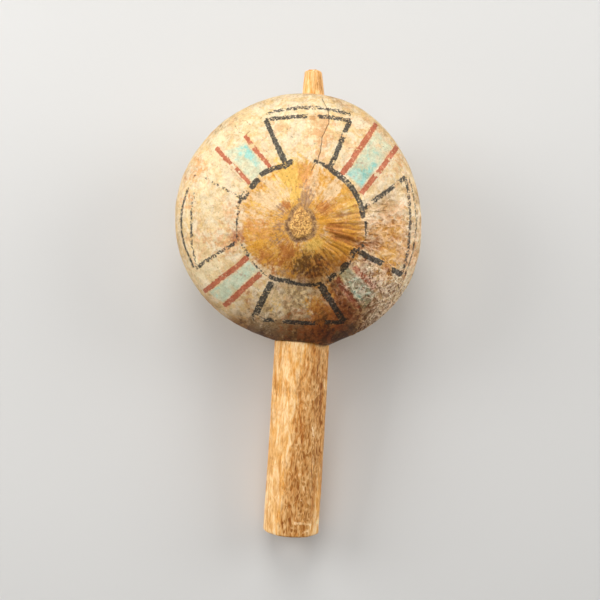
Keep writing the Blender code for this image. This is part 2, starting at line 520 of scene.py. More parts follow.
@dataclass(frozen=True)
class Panel:
    """A panel between two lines that run out from the ring, closed by two lines across."""

    near_left: Point
    far_left: Point
    far_right: Point
    near_right: Point
    widths: tuple[float, float, float, float] = (2.4, 1.8, 1.4, 2.4)
    kept: tuple[float, float, float, float] = (0.8, 0.6, 0.5, 0.8)
    bulge: float = 1.5
    outer_gap: float = 3.5
    outer_bulge: float = 3.0

    def strokes(self) -> list[Stroke]:
        """The lines that bound the panel.

        Returns:
            The left side, the line across, the line outside that, and the right side.
        """
        left, right = np.array(self.far_left), np.array(self.far_right)
        out = (left + right) / np.linalg.norm(left + right)
        step = out * self.outer_gap
        paths = (
            (self.near_left, self.far_left),
            self.arc(left, right, out * self.bulge),
            self.arc(left + step, right + step, out * self.outer_bulge),
            (self.near_right, self.far_right),
        )
        lines = zip(paths, self.widths, self.kept)
        return [Stroke(Paint.BLACK, path, width, kept) for path, width, kept in lines]

    @staticmethod
    def arc(start: Array, end: Array, rise: Array) -> tuple[Point, ...]:
        """A shallow arc.

        Args:
            start: Where it starts.
            end: Where it ends.
            rise: How far its middle lies from the straight line, and which way.

        Returns:
            Points along the arc.
        """
        shares = np.linspace(0, 1, ARC_POINTS)
        points = [start + (end - start) * t + rise * 4 * t * (1 - t) for t in shares]
        return tuple((float(x), float(y)) for x, y in points)


@dataclass(frozen=True)
class StripePair:
    """Two red stripes that run out between two panels, with turquoise between them.

    The wash starts and ends at shares of the stripes' length.
    """

    first: tuple[Point, Point]
    second: tuple[Point, Point]
    kept_red: float = 0.95
    kept_wash: float = 0.9
    wash: Pair = (0.06, 0.9)
    width: float = 2.6
    margin: float = 0.6

    def strokes(self) -> list[Stroke | Wash]:
        """What the pair is painted with.

        Returns:
            The turquoise wash and the two red stripes.
        """
        corners = [self.inset(share, side) for side in (0, 1) for share in self.wash]
        area = (corners[0], corners[1], corners[3], corners[2])
        return [
            Wash(Paint.TURQUOISE, area, self.kept_wash),
            Stroke(Paint.RED, self.first, self.width, self.kept_red),
            Stroke(Paint.RED, self.second, self.width, self.kept_red),
        ]

    def inset(self, share: float, side: int) -> Point:
        """A corner of the wash, at this share of the stripes' length.

        Args:
            share: 0 at the ring and 1 at the far end.
            side: 0 beside the first stripe and 1 beside the second.

        Returns:
            The corner.
        """
        edges = [np.array(a) + np.subtract(b, a) * share for a, b in (self.first, self.second)]
        way = edges[1 - side] - edges[side]
        way /= np.linalg.norm(way)
        x, y = edges[side] + way * (self.width / 2 + self.margin)
        return float(x), float(y)


@dataclass(frozen=True)
class RingArc:
    """A length of the black ring, between two angles in degrees."""

    start: float
    end: float
    width: float = 2.2
    kept: float = 0.8
    radius: float = 29.8
    end_radius: float | None = None

    def stroke(self) -> Stroke:
        """Draw the arc with the brush.

        Returns:
            The arc as one stroke.
        """
        angles = np.radians(np.linspace(self.start, self.end, ARC_POINTS))
        radii = np.linspace(self.radius, self.end_radius or self.radius, ARC_POINTS)
        path = tuple((r * math.cos(a), r * math.sin(a)) for r, a in zip(radii, angles))
        return Stroke(Paint.BLACK, path, self.width, self.kept)


class Mark(Enum):
    """What the painter's hand and time have left on the skin, by patches. Some are partly
    painted shade: the last mark, which also holds soiling, and the dull and umber patches on
    the lower side.

    UNDER_DISC and OVER_DISC are laid as colours. The paints and the darkening layer read the
    last three.
    """

    PALE = "pale"
    WARM = "warm"
    DULL = "dull"
    AMBER = "amber"
    GOLD = "gold"
    CHALK = "chalk"
    PEACH = "peach"
    MAUVE = "mauve"
    ROSE = "rose"
    RUST = "rust"
    UMBER = "umber"
    SCUFF = "scuff"
    TEAL = "teal"
    GRIME_AND_SHADE = "grime_and_shade"


UNDER_DISC = (Mark.PALE, Mark.WARM, Mark.DULL)
OVER_DISC = (
    Mark.AMBER,
    Mark.GOLD,
    Mark.CHALK,
    Mark.PEACH,
    Mark.MAUVE,
    Mark.ROSE,
    Mark.RUST,
    Mark.UMBER,
)


@dataclass(frozen=True)
class Patch:
    """A soft-edged patch of a mark, in millimetres from the stem."""

    across: float
    along: float
    reach: float
    strength: float = 1.0
    drawn_out: float = 1.0

    def amount(self, across: Array, along: Array) -> Array:
        """How much of the mark each place has. It may be drawn out away from the stem.

        Args:
            across: Places on the face, to the right of the stem.
            along: Places on the face, from the stem towards the peg.

        Returns:
            The amounts.
        """
        x, y = across - self.across, along - self.along
        distance = math.hypot(self.across, self.along) or 1.0
        out = (x * self.across + y * self.along) / distance
        side = (y * self.across - x * self.along) / distance
        return self.strength * bell(np.hypot(out / self.drawn_out, side), self.reach)


@dataclass(frozen=True)
class FacePattern:
    """Everything that is painted on one face of the gourd.

    A bulge of the disc is its angle and its spread, in degrees, and its rise.
    """

    panels: tuple[Panel, ...]
    stripes: tuple[StripePair, ...]
    ring: tuple[RingArc, ...]
    extra: tuple[Stroke, ...] = ()
    patches: dict[Mark, tuple[Patch, ...]] = field(default_factory=dict)
    disc_radius: float = 28.0
    disc_bulges: tuple[tuple[float, float, float], ...] = ()
    unsteady: float = 0.5
    unsteady_length: float = 9.0

    def strokes(self) -> list[Stroke | Wash]:
        """Gather what the brush has laid on the face.

        Returns:
            All its strokes and washes.
        """
        found = [stroke for pair in self.stripes for stroke in pair.strokes()]
        found += [stroke for panel in self.panels for stroke in panel.strokes()]
        return [*found, *(arc.stroke() for arc in self.ring), *self.extra]

    def disc_edge(self, across: Array, along: Array) -> Array:
        """Distance to the edge of the ochre disc, less than 0 inside it.

        Args:
            across: Places on the face, to the right of the stem.
            along: Places on the face, from the stem towards the peg.

        Returns:
            The distances.
        """
        around = np.degrees(np.arctan2(along, across))
        radius = self.disc_radius
        for middle, spread, rise in self.disc_bulges:
            turn = (around - middle + 180) % 360 - 180
            radius = radius + rise * bell(turn, spread)
        return np.hypot(across, along) - radius

    def fields(self, across: Array, along: Array) -> dict[str, Array]:
        """What the material reads.

        Args:
            across: Places on the face, to the right of the stem.
            along: Places on the face, from the stem towards the peg.

        Returns:
            For each paint its edge distance and how much of it is kept, for each mark
            its amount, and the distance to the edge of the ochre disc.
        """
        places = flat_points(across, along)
        hand_x = across + self.unsteady * ripple(places, self.unsteady_length, shift=31.0)
        hand_y = along + self.unsteady * ripple(places, self.unsteady_length, shift=37.0)
        found: dict[str, Array] = {}
        for paint in Paint:
            edge, kept = np.full(across.shape, FAR), np.ones(across.shape)
            for stroke in self.strokes():
                if stroke.paint is not paint:
                    continue
                gap = stroke.gap(hand_x, hand_y)
                closer = gap < edge
                edge[closer], kept[closer] = gap[closer], stroke.kept
            found[f"{paint.value}_edge"], found[f"{paint.value}_kept"] = edge, kept
        for mark in Mark:
            amounts = [patch.amount(across, along) for patch in self.patches.get(mark, ())]
            found[mark.value] = np.sum(amounts, axis=0) if amounts else np.zeros(across.shape)
        found["disc_edge"] = self.disc_edge(across, along)
        return found


# --- The gourd ---


@dataclass(frozen=True)
class PaintLook:
    """How one paint looks on the slip.

    The brush is the size of the gaps that a dry brush leaves, in millimetres.
    """

    colour: Colour
    softness: float = 0.07
    top: float = 0.92
    brush: float = 0.95
    ragged: float = 1.3
    edge: float = 0.2


@dataclass(frozen=True)
class MarkLook:
    """How one mark looks: its colour, its greatest share and the clouds that break it up."""

    colour: Colour
    top: float = 0.8
    edge: float = 0.5
    drawn_out: float = 0.4
    clouds: float = 1.8


class SkinSurface(Surface):
    """The gourd's material, with the clouds that its layers share."""

    def __init__(self, name: str) -> None:
        """Start the material and its clouds.

        Args:
            name: Name of the material.
        """
        super().__init__(name)
        self.places = self.place("place")
        self.flat = self.place("flat")
        self.rays = self.place("rays")
        self.grit = self.mottle(self.places, size=0.5, seed=4, detail=2)
        self.fine = self.mottle(self.places, size=0.95, seed=2, detail=3)
        self.small = self.mottle(self.places, size=1.8, seed=1, detail=4, warp=0.5)
        self.middle = self.mottle(self.places, size=5.5, seed=3, detail=4, warp=0.5)
        self.streaks = self.mottle(self.rays, size=0.5, seed=5, detail=4, warp=0.3)


@dataclass(frozen=True)
class PaintedSkin:
    """Finish of the gourd: dried skin, pale slip, ochre disc and worn earth paints."""

    bare: Colour = (0.46, 0.19, 0.05)
    slip: Colour = (0.85, 0.61, 0.31)
    slip_white: Colour = (0.90, 0.72, 0.47)
    slip_peach: Colour = (0.78, 0.44, 0.20)
    slip_straw: Colour = (0.84, 0.55, 0.20)
    slip_tan: Colour = (0.46, 0.30, 0.15)
    ochre: Colour = (0.76, 0.35, 0.035)
    ochre_deep: Colour = (0.56, 0.20, 0.02)
    ochre_pale: Colour = (0.86, 0.56, 0.20)
    ochre_pink: Colour = (0.80, 0.46, 0.25)
    ochre_brown: Colour = (0.42, 0.17, 0.05)
    # Soiling and painted shade in the pleats, folds and crease.
    furrow: Colour = (0.34, 0.13, 0.025)
    # Rubbed wear together with painted highlights, on the crests.
    crest_wear_and_highlight: Colour = (0.86, 0.64, 0.43)
    # Soiling and painted shade in the thin valleys.
    valley_soil_and_shade: Colour = (0.32, 0.13, 0.06)
    # Multiplied over the skin: soiling together with painted shade.
    grime_and_shade: Colour = (0.49, 0.335, 0.18)
    shadow: Colour = (0.56, 0.28, 0.12)
    scar: Colour = (0.19, 0.095, 0.05)
    scar_pale: Colour = (0.52, 0.29, 0.11)
    cork: Colour = (0.94, 0.54, 0.16)
    cork_pit: Colour = (0.36, 0.15, 0.04)
    grain: Colour = (0.14, 0.065, 0.03)
    turquoise: PaintLook = PaintLook((0.66, 0.74, 0.53), 0.4, 0.95, 4.0, edge=0.9)
    turquoise_deep: Colour = (0.22, 0.62, 0.56)
    red: PaintLook = PaintLook((0.58, 0.155, 0.07), 0.06, 0.95, 1.3)
    red_deep: Colour = (0.38, 0.09, 0.04)
    black: PaintLook = PaintLook((0.042, 0.040, 0.034), 0.06, 0.94)
    black_grey: Colour = (0.15, 0.13, 0.10)
    scratch: PaintLook = PaintLook((0.42, 0.22, 0.09), 0.15, 0.7, 0.95, 0.5)
    pale: MarkLook = MarkLook((0.90, 0.72, 0.42), 0.75, 0.5, 0.2, 2.5)
    warm: MarkLook = MarkLook((0.76, 0.36, 0.135), 0.75, 0.5, 0.4)
    # Partly painted shade where its patches lie along the lower edge.
    dull: MarkLook = MarkLook((0.28, 0.16, 0.065), 0.8, 0.6, 0.6)
    amber: MarkLook = MarkLook((0.78, 0.35, 0.03), 0.85, 0.5, 0.4)
    gold: MarkLook = MarkLook((0.87, 0.52, 0.11), 0.9, 0.5, 0.4)
    chalk: MarkLook = MarkLook((0.88, 0.62, 0.35), 0.85, 0.5, 0.5)
    peach: MarkLook = MarkLook((0.78, 0.34, 0.10), 0.8, 0.5, 0.5)
    mauve: MarkLook = MarkLook((0.34, 0.19, 0.12), 0.75, 0.5, 0.5)
    rose: MarkLook = MarkLook((0.42, 0.16, 0.09), 0.75, 0.5, 0.4)
    rust: MarkLook = MarkLook((0.49, 0.155, 0.028), 0.85, 0.6, 0.5)
    # Partly painted shade where its patches lie below the stem and along the lower edge.
    umber: MarkLook = MarkLook((0.11, 0.042, 0.007), 0.85, 0.6, 0.5)
    bump_depth: float = 0.3

    def material(self) -> Material:
        """Make the material, which reads the fields that the gourd's mesh carries.

        Returns:
            The finished material.
        """
        skin = SkinSurface("painted_gourd_skin")
        colour = self.slip_layers(skin)
        colour = self.mark_layers(skin, colour, UNDER_DISC)
        colour = self.disc_layer(skin, colour)
        colour = self.mark_layers(skin, colour, OVER_DISC)
        colour = self.paint_layers(skin, colour, (Paint.TURQUOISE, Paint.RED))
        crests, valleys = self.wrinkle_lines(skin)
        colour = self.relief_layers(skin, colour, crests, valleys)
        colour = self.paint_layers(skin, colour, (Paint.BLACK, Paint.SCRATCH))
        # Soiling and painted shade, darker on the lower and the right side.
        colour = self.grime_and_shade_layer(skin, colour)
        colour = self.scar_layers(skin, colour)
        crack = skin.step(skin.maths("ABSOLUTE", skin.field("crack")), 0.24, 0.06, 0, 0.85)
        colour = skin.mix(crack, colour, self.grain)
        specks = skin.mottle(skin.places, size=1.3, seed=54, detail=1)
        colour = skin.mix(skin.step(specks, 0.71, 0.76, 0, 0.45), colour, self.grain)
        colour = self.light_and_shade(skin, colour, crests, valleys)
        colour = skin.mix(skin.field("inside"), colour, self.bare)
        height = skin.total(
            (skin.fine, 0.3), (skin.small, 0.7), (skin.streaks, 0.4), (crests, 1.0), (crack, -1.0)
        )
        roughness = skin.total((skin.small, 0.3), (skin.middle, 0.2), (1.0, 0.42))
        return skin.finish(colour, roughness, height, self.bump_depth)

    def wrinkle_lines(self, skin: SkinSurface) -> tuple[Socket, Socket]:
        """Thin crests and valleys, where the skin is wrinkled or shrivelled.

        Args:
            skin: The material.

        Returns:
            The shares of the crests and of the valleys.
        """
        rough, side = skin.field("rough"), skin.field("wrinkled")
        folds = skin.product(side, 0.6)
        bumpy = skin.maths("MAXIMUM", rough, skin.product(side, 0.15))
        unrusted = skin.step(skin.field("rust"), 0.2, 1.0, 1.0, 0.35)
        web = skin.maths(
            "MAXIMUM",
            skin.worms(skin.flat, size=5.0, seed=7, width=0.3),
            skin.worms(skin.places, size=3.2, seed=8, width=0.3),
        )
        web = skin.product(web, skin.step(skin.small, 0.36, 0.52), bumpy, unrusted)
        rays = skin.product(skin.worms(skin.rays, size=0.7, seed=59, width=0.35), folds)
        crests = skin.maths("MAXIMUM", web, rays)
        web = skin.product(skin.worms(skin.flat, size=5.5, seed=57, width=0.35), rough)
        rays = skin.product(skin.worms(skin.rays, size=0.6, seed=58, width=0.4), folds)
        valleys = skin.product(skin.maths("MAXIMUM", web, rays), skin.step(skin.small, 0.5, 0.4))
        return crests, valleys

    def slip_layers(self, skin: SkinSurface) -> Socket:
        """The pale slip, brushed over the bare skin and worn through in places.

        Args:
            skin: The material.

        Returns:
            The slip's colour.
        """
        slip: Input = self.slip
        tones = (
            (self.slip_white, 6.0, 0.0, 0.44, 1.0),
            (self.slip_peach, 7.0, 0.15, 0.50, 0.7),
            (self.slip_straw, 4.5, 0.2, 0.52, 0.7),
            (self.slip_tan, 3.0, 0.45, 0.56, 0.5),
        )
        for seed, (tone, size, drawn_out, start, top) in enumerate(tones, 10):
            clouds = skin.mottle(skin.places, size=size, seed=seed, detail=5, warp=0.8)
            clouds = skin.total((clouds, 1 - drawn_out), (skin.streaks, drawn_out))
            slip = skin.mix(skin.step(clouds, start, start + 0.12, 0, top), slip, tone)
        worn = skin.total(
            (skin.small, 0.4), (skin.middle, 0.4), (skin.fine, 0.2), (skin.field("scuff"), 0.1)
        )
        return skin.mix(skin.step(worn, 0.61, 0.7, 0, 0.7), slip, self.bare)

    def mark_layers(self, skin: SkinSurface, under: Input, marks: Iterable[Mark]) -> Socket:
        """Lay patches over a colour.

        Args:
            skin: The material.
            under: The colour that they are laid on.
            marks: The marks, in the order in which they are laid.

        Returns:
            The colour with the patches.
        """
        colour = under
        for mark in marks:
            look: MarkLook = getattr(self, mark.value)
            seed = 80 + 3 * list(Mark).index(mark)
            round_clouds = skin.mottle(
                skin.places, size=look.clouds, seed=seed, detail=5, warp=0.4
            )
            long_clouds = skin.mottle(skin.rays, size=0.6, seed=seed + 1, detail=4, warp=0.8)
            clouds = skin.total(
                (round_clouds, 1 - look.drawn_out), (long_clouds, look.drawn_out)
            )
            share = skin.patch(skin.field(mark.value), clouds, look.top, look.edge)
            colour = skin.mix(share, colour, look.colour)
        return colour

    def disc_layer(self, skin: SkinSurface, under: Input) -> Socket:
        """The ochre disc, brushed outwards from the stem.

        Args:
            skin: The material.
            under: The colour that it is laid on.

        Returns:
            The colour with the disc.
        """
        ochre: Input = self.ochre
        tones = (
            (self.ochre_deep, 0.50, 0.75),
            (self.ochre_pale, 0.50, 0.75),
            (self.ochre_pink, 0.52, 0.7),
            (self.ochre_brown, 0.55, 0.65),
        )
        for seed, (tone, start, top) in enumerate(tones, 21):
            long_clouds = skin.mottle(skin.rays, size=0.55, seed=seed, detail=4, warp=0.6)
            round_clouds = skin.mottle(skin.places, size=2.4, seed=seed, detail=5, warp=0.8)
            clouds = skin.total((long_clouds, 0.4), (round_clouds, 0.6))
            ochre = skin.mix(skin.step(clouds, start, start + 0.13, 0, top), ochre, tone)
        frayed = skin.mottle(skin.places, size=3.5, seed=26, detail=4, warp=0.4)
        edge = skin.total((skin.field("disc_edge"), 1), (frayed, 7), (skin.streaks, 5), (1.0, -6.0))
        return skin.mix(skin.step(edge, 1.1, -1.1, 0, 0.94), under, ochre)

    def paint_layers(self, skin: SkinSurface, under: Input, paints: Iterable[Paint]) -> Socket:
        """Lay strokes, with ragged edges, dry-brushed and rubbed.

        Args:
            skin: The material.
            under: The colour that they are laid on.
            paints: The paints, in the order in which they are laid.

        Returns:
            The colour with the strokes.
        """
        colour = under
        for paint in paints:
            seed = list(Paint).index(paint)
            look: PaintLook = getattr(self, paint.value)
            ragged = skin.total((skin.small, 1.1 * look.ragged), (skin.fine, 0.9 * look.ragged))
            edge = skin.total((skin.field(f"{paint.value}_edge"), 1.0), (ragged, 1.0))
            inside = skin.step(edge, look.ragged + look.edge, look.ragged - look.edge)
            dry = skin.mottle(skin.places, size=look.brush, seed=31 + seed, detail=3)
            blot = skin.mottle(skin.places, size=look.brush * 3, seed=41 + seed, detail=3)
            left = skin.total(
                (skin.field(f"{paint.value}_kept"), 0.4),
                (dry, -1.0),
                (blot, -0.5),
                (skin.field("scuff"), -0.3),
                (1.0, 0.52),
            )
            kept = skin.step(left, -look.softness, look.softness, 0, look.top)
            colour = skin.mix(skin.product(inside, kept), colour, self.paint_colour(skin, paint))
        return colour

    def paint_colour(self, skin: SkinSurface, paint: Paint) -> Input:
        """The colour of a paint, which is uneven where its two tones meet.

        Args:
            skin: The material.
            paint: The paint.

        Returns:
            The paint's colour.
        """
        colour = getattr(self, paint.value).colour
        if paint is Paint.TURQUOISE:
            deep = skin.total((skin.middle, 0.9), (skin.small, 0.5), (skin.field("teal"), 0.16))
            colour = skin.mix(skin.step(deep, 0.73, 0.9), colour, self.turquoise_deep)
        elif paint is Paint.RED:
            colour = skin.mix(skin.step(skin.small, 0.5, 0.62, 0, 0.7), colour, self.red_deep)
        elif paint is Paint.BLACK:
            colour = skin.mix(skin.step(skin.fine, 0.5, 0.62, 0, 0.8), colour, self.black_grey)
        return colour

    def relief_layers(
        self, skin: SkinSurface, under: Input, crests: Socket, valleys: Socket
    ) -> Socket:
        """Darker hollows and lighter crests: soiling and painted shade in the hollows, rubbed wear
        and painted highlights on the crests.

        Args:
            skin: The material.
            under: The colour that they are laid on.
            crests: The thin crests of the shrivelled skin.
            valleys: The thin valleys between them.

        Returns:
            The colour with its darker hollows and lighter crests.
        """
        # Soiling and painted shade in the pleats, folds and crease.
        soil_and_shade = skin.total((skin.field("furrow"), 1.0), (skin.streaks, 1.6), (1.0, -0.8))
        colour = skin.mix(skin.step(soil_and_shade, 0.25, 0.9, 0, 0.7), under, self.furrow)
        clouds = skin.mottle(skin.places, size=2.6, seed=56, detail=4, warp=0.6)
        clouds = skin.total((clouds, 1.0), (skin.fine, 0.5))
        soil_and_shade = skin.total((skin.field("rough"), 1.0), (clouds, 6.0), (1.0, -4.9))
        colour = skin.mix(skin.step(soil_and_shade, 0.3, 0.9, 0, 0.5), colour, self.rose.colour)
        # Soiling and painted shade in the thin valleys.
        colour = skin.mix(skin.product(valleys, 0.4), colour, self.valley_soil_and_shade)
        # Rubbed wear and painted highlights on the crests.
        rubbed = skin.total((skin.field("crest_wear_and_highlight"), 0.25), (crests, 0.38))
        return skin.mix(rubbed, colour, self.crest_wear_and_highlight)

    def grime_and_shade_layer(self, skin: SkinSurface, under: Input) -> Socket:
        """Darken the paint and the skin alike: soiling, and painted shade on the lower and right
        side.

        Args:
            skin: The material.
            under: The colour that it lies on.

        Returns:
            The colour, darkened.
        """
        amount = skin.field("grime_and_shade")
        clouds = skin.total((amount, 0.6), (skin.middle, 0.7), (skin.streaks, 1.3), (1.0, -1.0))
        share = skin.product(amount, skin.step(clouds, 0.0, 0.9, 0.6, 1.2))
        return skin.mix(skin.maths("MINIMUM", share, 1.0), under, self.grime_and_shade, "MULTIPLY")

    def light_and_shade(
        self, skin: SkinSurface, under: Input, crests: Socket, valleys: Socket
    ) -> Socket:
        """Make the colour lighter and darker: the uneven tone of the fine grain, with painted
        highlights on the crests, painted shade in the valleys, and darker over the shrivelled skin
        and towards the edge of the face.

        Args:
            skin: The material.
            under: The colour.
            crests: The thin crests of the shrivelled skin.
            valleys: The thin valleys between them.

        Returns:
            The colour with its light and dark.
        """
        # Random tone, with painted light and shade: crests lighter, valleys darker, and darker over
        # the shrivelled skin and towards the edge of the face.
        light = skin.total(
            (skin.fine, 0.7), (skin.grit, 0.4), (skin.small, 0.6), (skin.middle, 0.6),
            (skin.streaks, 0.8), (1.0, -0.55), (crests, 0.5), (valleys, -0.35),
            (skin.field("crest_wear_and_highlight"), 0.25), (skin.field("rough"), -0.2), (skin.field("painted_rim_shade"), -0.2),
        )
        colour = skin.mix(skin.step(light, 0.85, 0.6, 0, 0.25), under, self.shadow)
        colour = skin.deepened(colour, skin.total((light, -0.6), (1.0, 1.6)))
        return skin.shaded(colour, skin.total((light, 0.75), (1.0, 0.25)))

    def scar_layers(self, skin: SkinSurface, under: Input) -> Socket:
        """The scar that the stem left: a dull ring round pitted cork.

        Args:
            skin: The material.
            under: The colour that it lies on.

        Returns:
            The colour with the scar.
        """
        ring = skin.total(
            (skin.field("scar_ring"), 1.0), (skin.small, 1.6), (skin.fine, 1.0), (1.0, -1.3)
        )
        tint = skin.mix(skin.step(skin.small, 0.42, 0.58), self.scar, self.scar_pale)
        colour = skin.mix(skin.step(ring, 0.2, 0.7, 0, 0.92), under, tint)
        pits = skin.product(
            skin.worms(skin.places, size=1.3, seed=53, width=0.5), skin.step(skin.small, 0.36, 0.5)
        )
        cork = skin.mix(skin.step(pits, 0.3, 0.8, 0, 0.85), self.cork, self.cork_pit)
        return skin.mix(skin.field("scar_core"), colour, cork)


@dataclass(frozen=True)
class GourdForm:
    """The gourd's smooth form. Polar angle 0 is the stem and pi the blossom end.

    Lengths are in millimetres, lean and turn in degrees. A wave of the outline is the number
    of its crests, its share of the radius and its phase in degrees.
    """

    radius: float = 63.4
    front_depth: float = 37.0
    back_depth: float = 40.0
    roundness: float = 0.89
    wall: float = 4.0
    boss_height: float = 6.0
    boss_radius: float = 24.0
    nub_height: float = 1.2
    nub_radius: float = 4.0
    stem_shift: float = 3.2
    side_shift: float = -5.0
    lean: float = 3.5
    turn: float = 1.5
    lip_height: float = 5.5
    lip_middle: Point = (10.0, 14.0)
    lip_reach: Pair = (15.6, 12.0)
    waves: tuple[tuple[int, float, float], ...] = (
        (2, 0.006, 97.0), (3, 0.017, 125.0), (4, 0.005, 131.0),
    )
    line_points: int = 1001

    def matrix(self) -> Matrix:
        """Work out how the gourd sits on the stick.

        Returns:
            The gourd's place in the rattle's frame, in millimetres.
        """
        lean = Matrix.Rotation(math.radians(self.lean), 4, "X")
        turn = Matrix.Rotation(math.radians(self.turn), 4, "Y")
        return Matrix.Translation((self.side_shift, 0, 0)) @ lean @ turn

    def plain(self, polar: Array, around: Array) -> Array:
        """The smooth skin, before the stem end is moved towards the handle.

        Args:
            polar: Angles from the stem, in radians.
            around: Angles round the stem axis, in radians.

        Returns:
            Places of the upright gourd.
        """
        sine, cosine = np.maximum(np.sin(polar), 0), np.cos(polar)
        wave = sum(
            share * np.cos(turns * around + math.radians(phase))
            for turns, share, phase in self.waves
        )
        out = self.radius * sine**self.roundness * (1 + wave * sine)
        depth = np.where(cosine > 0, self.front_depth, self.back_depth)
        height = np.sign(cosine) * depth * np.abs(cosine) ** self.roundness
        boss = self.boss_height * bell(out, self.boss_radius)
        nub = self.nub_height * bell(out, self.nub_radius)
        height += np.where(cosine > 0, boss, -nub)
        return np.stack([out * np.cos(around), out * np.sin(around), height], axis=-1)

    def stem_offset(self, points: Array) -> Array:
        """How far the lopsided growth moves each place towards the handle."""
        rise = np.maximum(points[..., 2], 0) / (self.front_depth + self.boss_height)
        return self.stem_shift * rise**2

    def lopsided(self, points: Array) -> Array:
        """The points with the stem end moved towards the handle."""
        return shifted(points, 1, -self.stem_offset(points))

    def upright(self, points: Array) -> Array:
        """The points with the stem end moved back over the middle."""
        return shifted(points, 1, self.stem_offset(points))

    def lip(self, points: Array) -> Array:
        """How far the skin stands out over the handle's shoulder, towards the handle.

        Args:
            points: Places of the upright gourd.

        Returns:
            One distance for each place.
        """
        across = (points[..., 0] - self.lip_middle[0]) / self.lip_reach[0]
        up = (points[..., 2] - self.lip_middle[1]) / self.lip_reach[1]
        return np.where(points[..., 1] < 0, self.lip_height * bell(np.hypot(across, up), 1), 0)

    def unrolled(self, points: Array) -> Array:
        """The skin unrolled round the stem: each place at its own way along the skin.

        Args:
            points: Places on the upright gourd.

        Returns:
            Flat places, whose distance from the middle is the way to the stem.
        """
        out = np.hypot(points[..., 0], points[..., 1])
        depth = np.where(points[..., 2] > 0, self.front_depth, self.back_depth)
        side = (out / self.radius) ** (1 / self.roundness)
        up = np.abs(points[..., 2] / depth) ** (1 / self.roundness) * np.sign(points[..., 2])
        polar = np.linspace(0, math.pi, self.line_points)
        line = self.plain(polar, np.zeros_like(polar))
        way = np.cumsum(np.linalg.norm(np.diff(line, axis=0, prepend=line[:1]), axis=1))
        run = np.interp(np.arctan2(side, up), polar, way)
        scale = run / np.maximum(out, 0.01)
        return flat_points(points[..., 0] * scale, points[..., 1] * scale)

    def inside(self, points: Array) -> Array:
        """Tell the inside of the wall from its outside.

        Args:
            points: Places of the upright gourd.

        Returns:
            1 for places within the wall or on its inner face, and 0 on the skin.
        """
        power = 2 / self.roundness
        out = np.hypot(points[..., 0], points[..., 1]) / self.radius
        depth = np.where(points[..., 2] > 0, self.front_depth, self.back_depth)
        level = out**power + np.abs(points[..., 2] / depth) ** power
        return smooth(level, 0.93, 0.88)

    def cavity(self, polar: Array, around: Array) -> Array:
        """The smooth inside of the wall.

        Args:
            polar: Angles from the stem, in radians.
            around: Angles round the stem axis, in radians.

        Returns:
            Places in the gourd's frame.
        """
        points = self.plain(polar, around)
        side = (self.radius - self.wall) / self.radius
        front = self.front_depth + self.boss_height
        depth = np.where(points[..., 2] > 0, front, self.back_depth)
        scale = np.stack([np.full_like(depth, side)] * 2 + [(depth - self.wall) / depth], -1)
        return self.lopsided(points * scale)


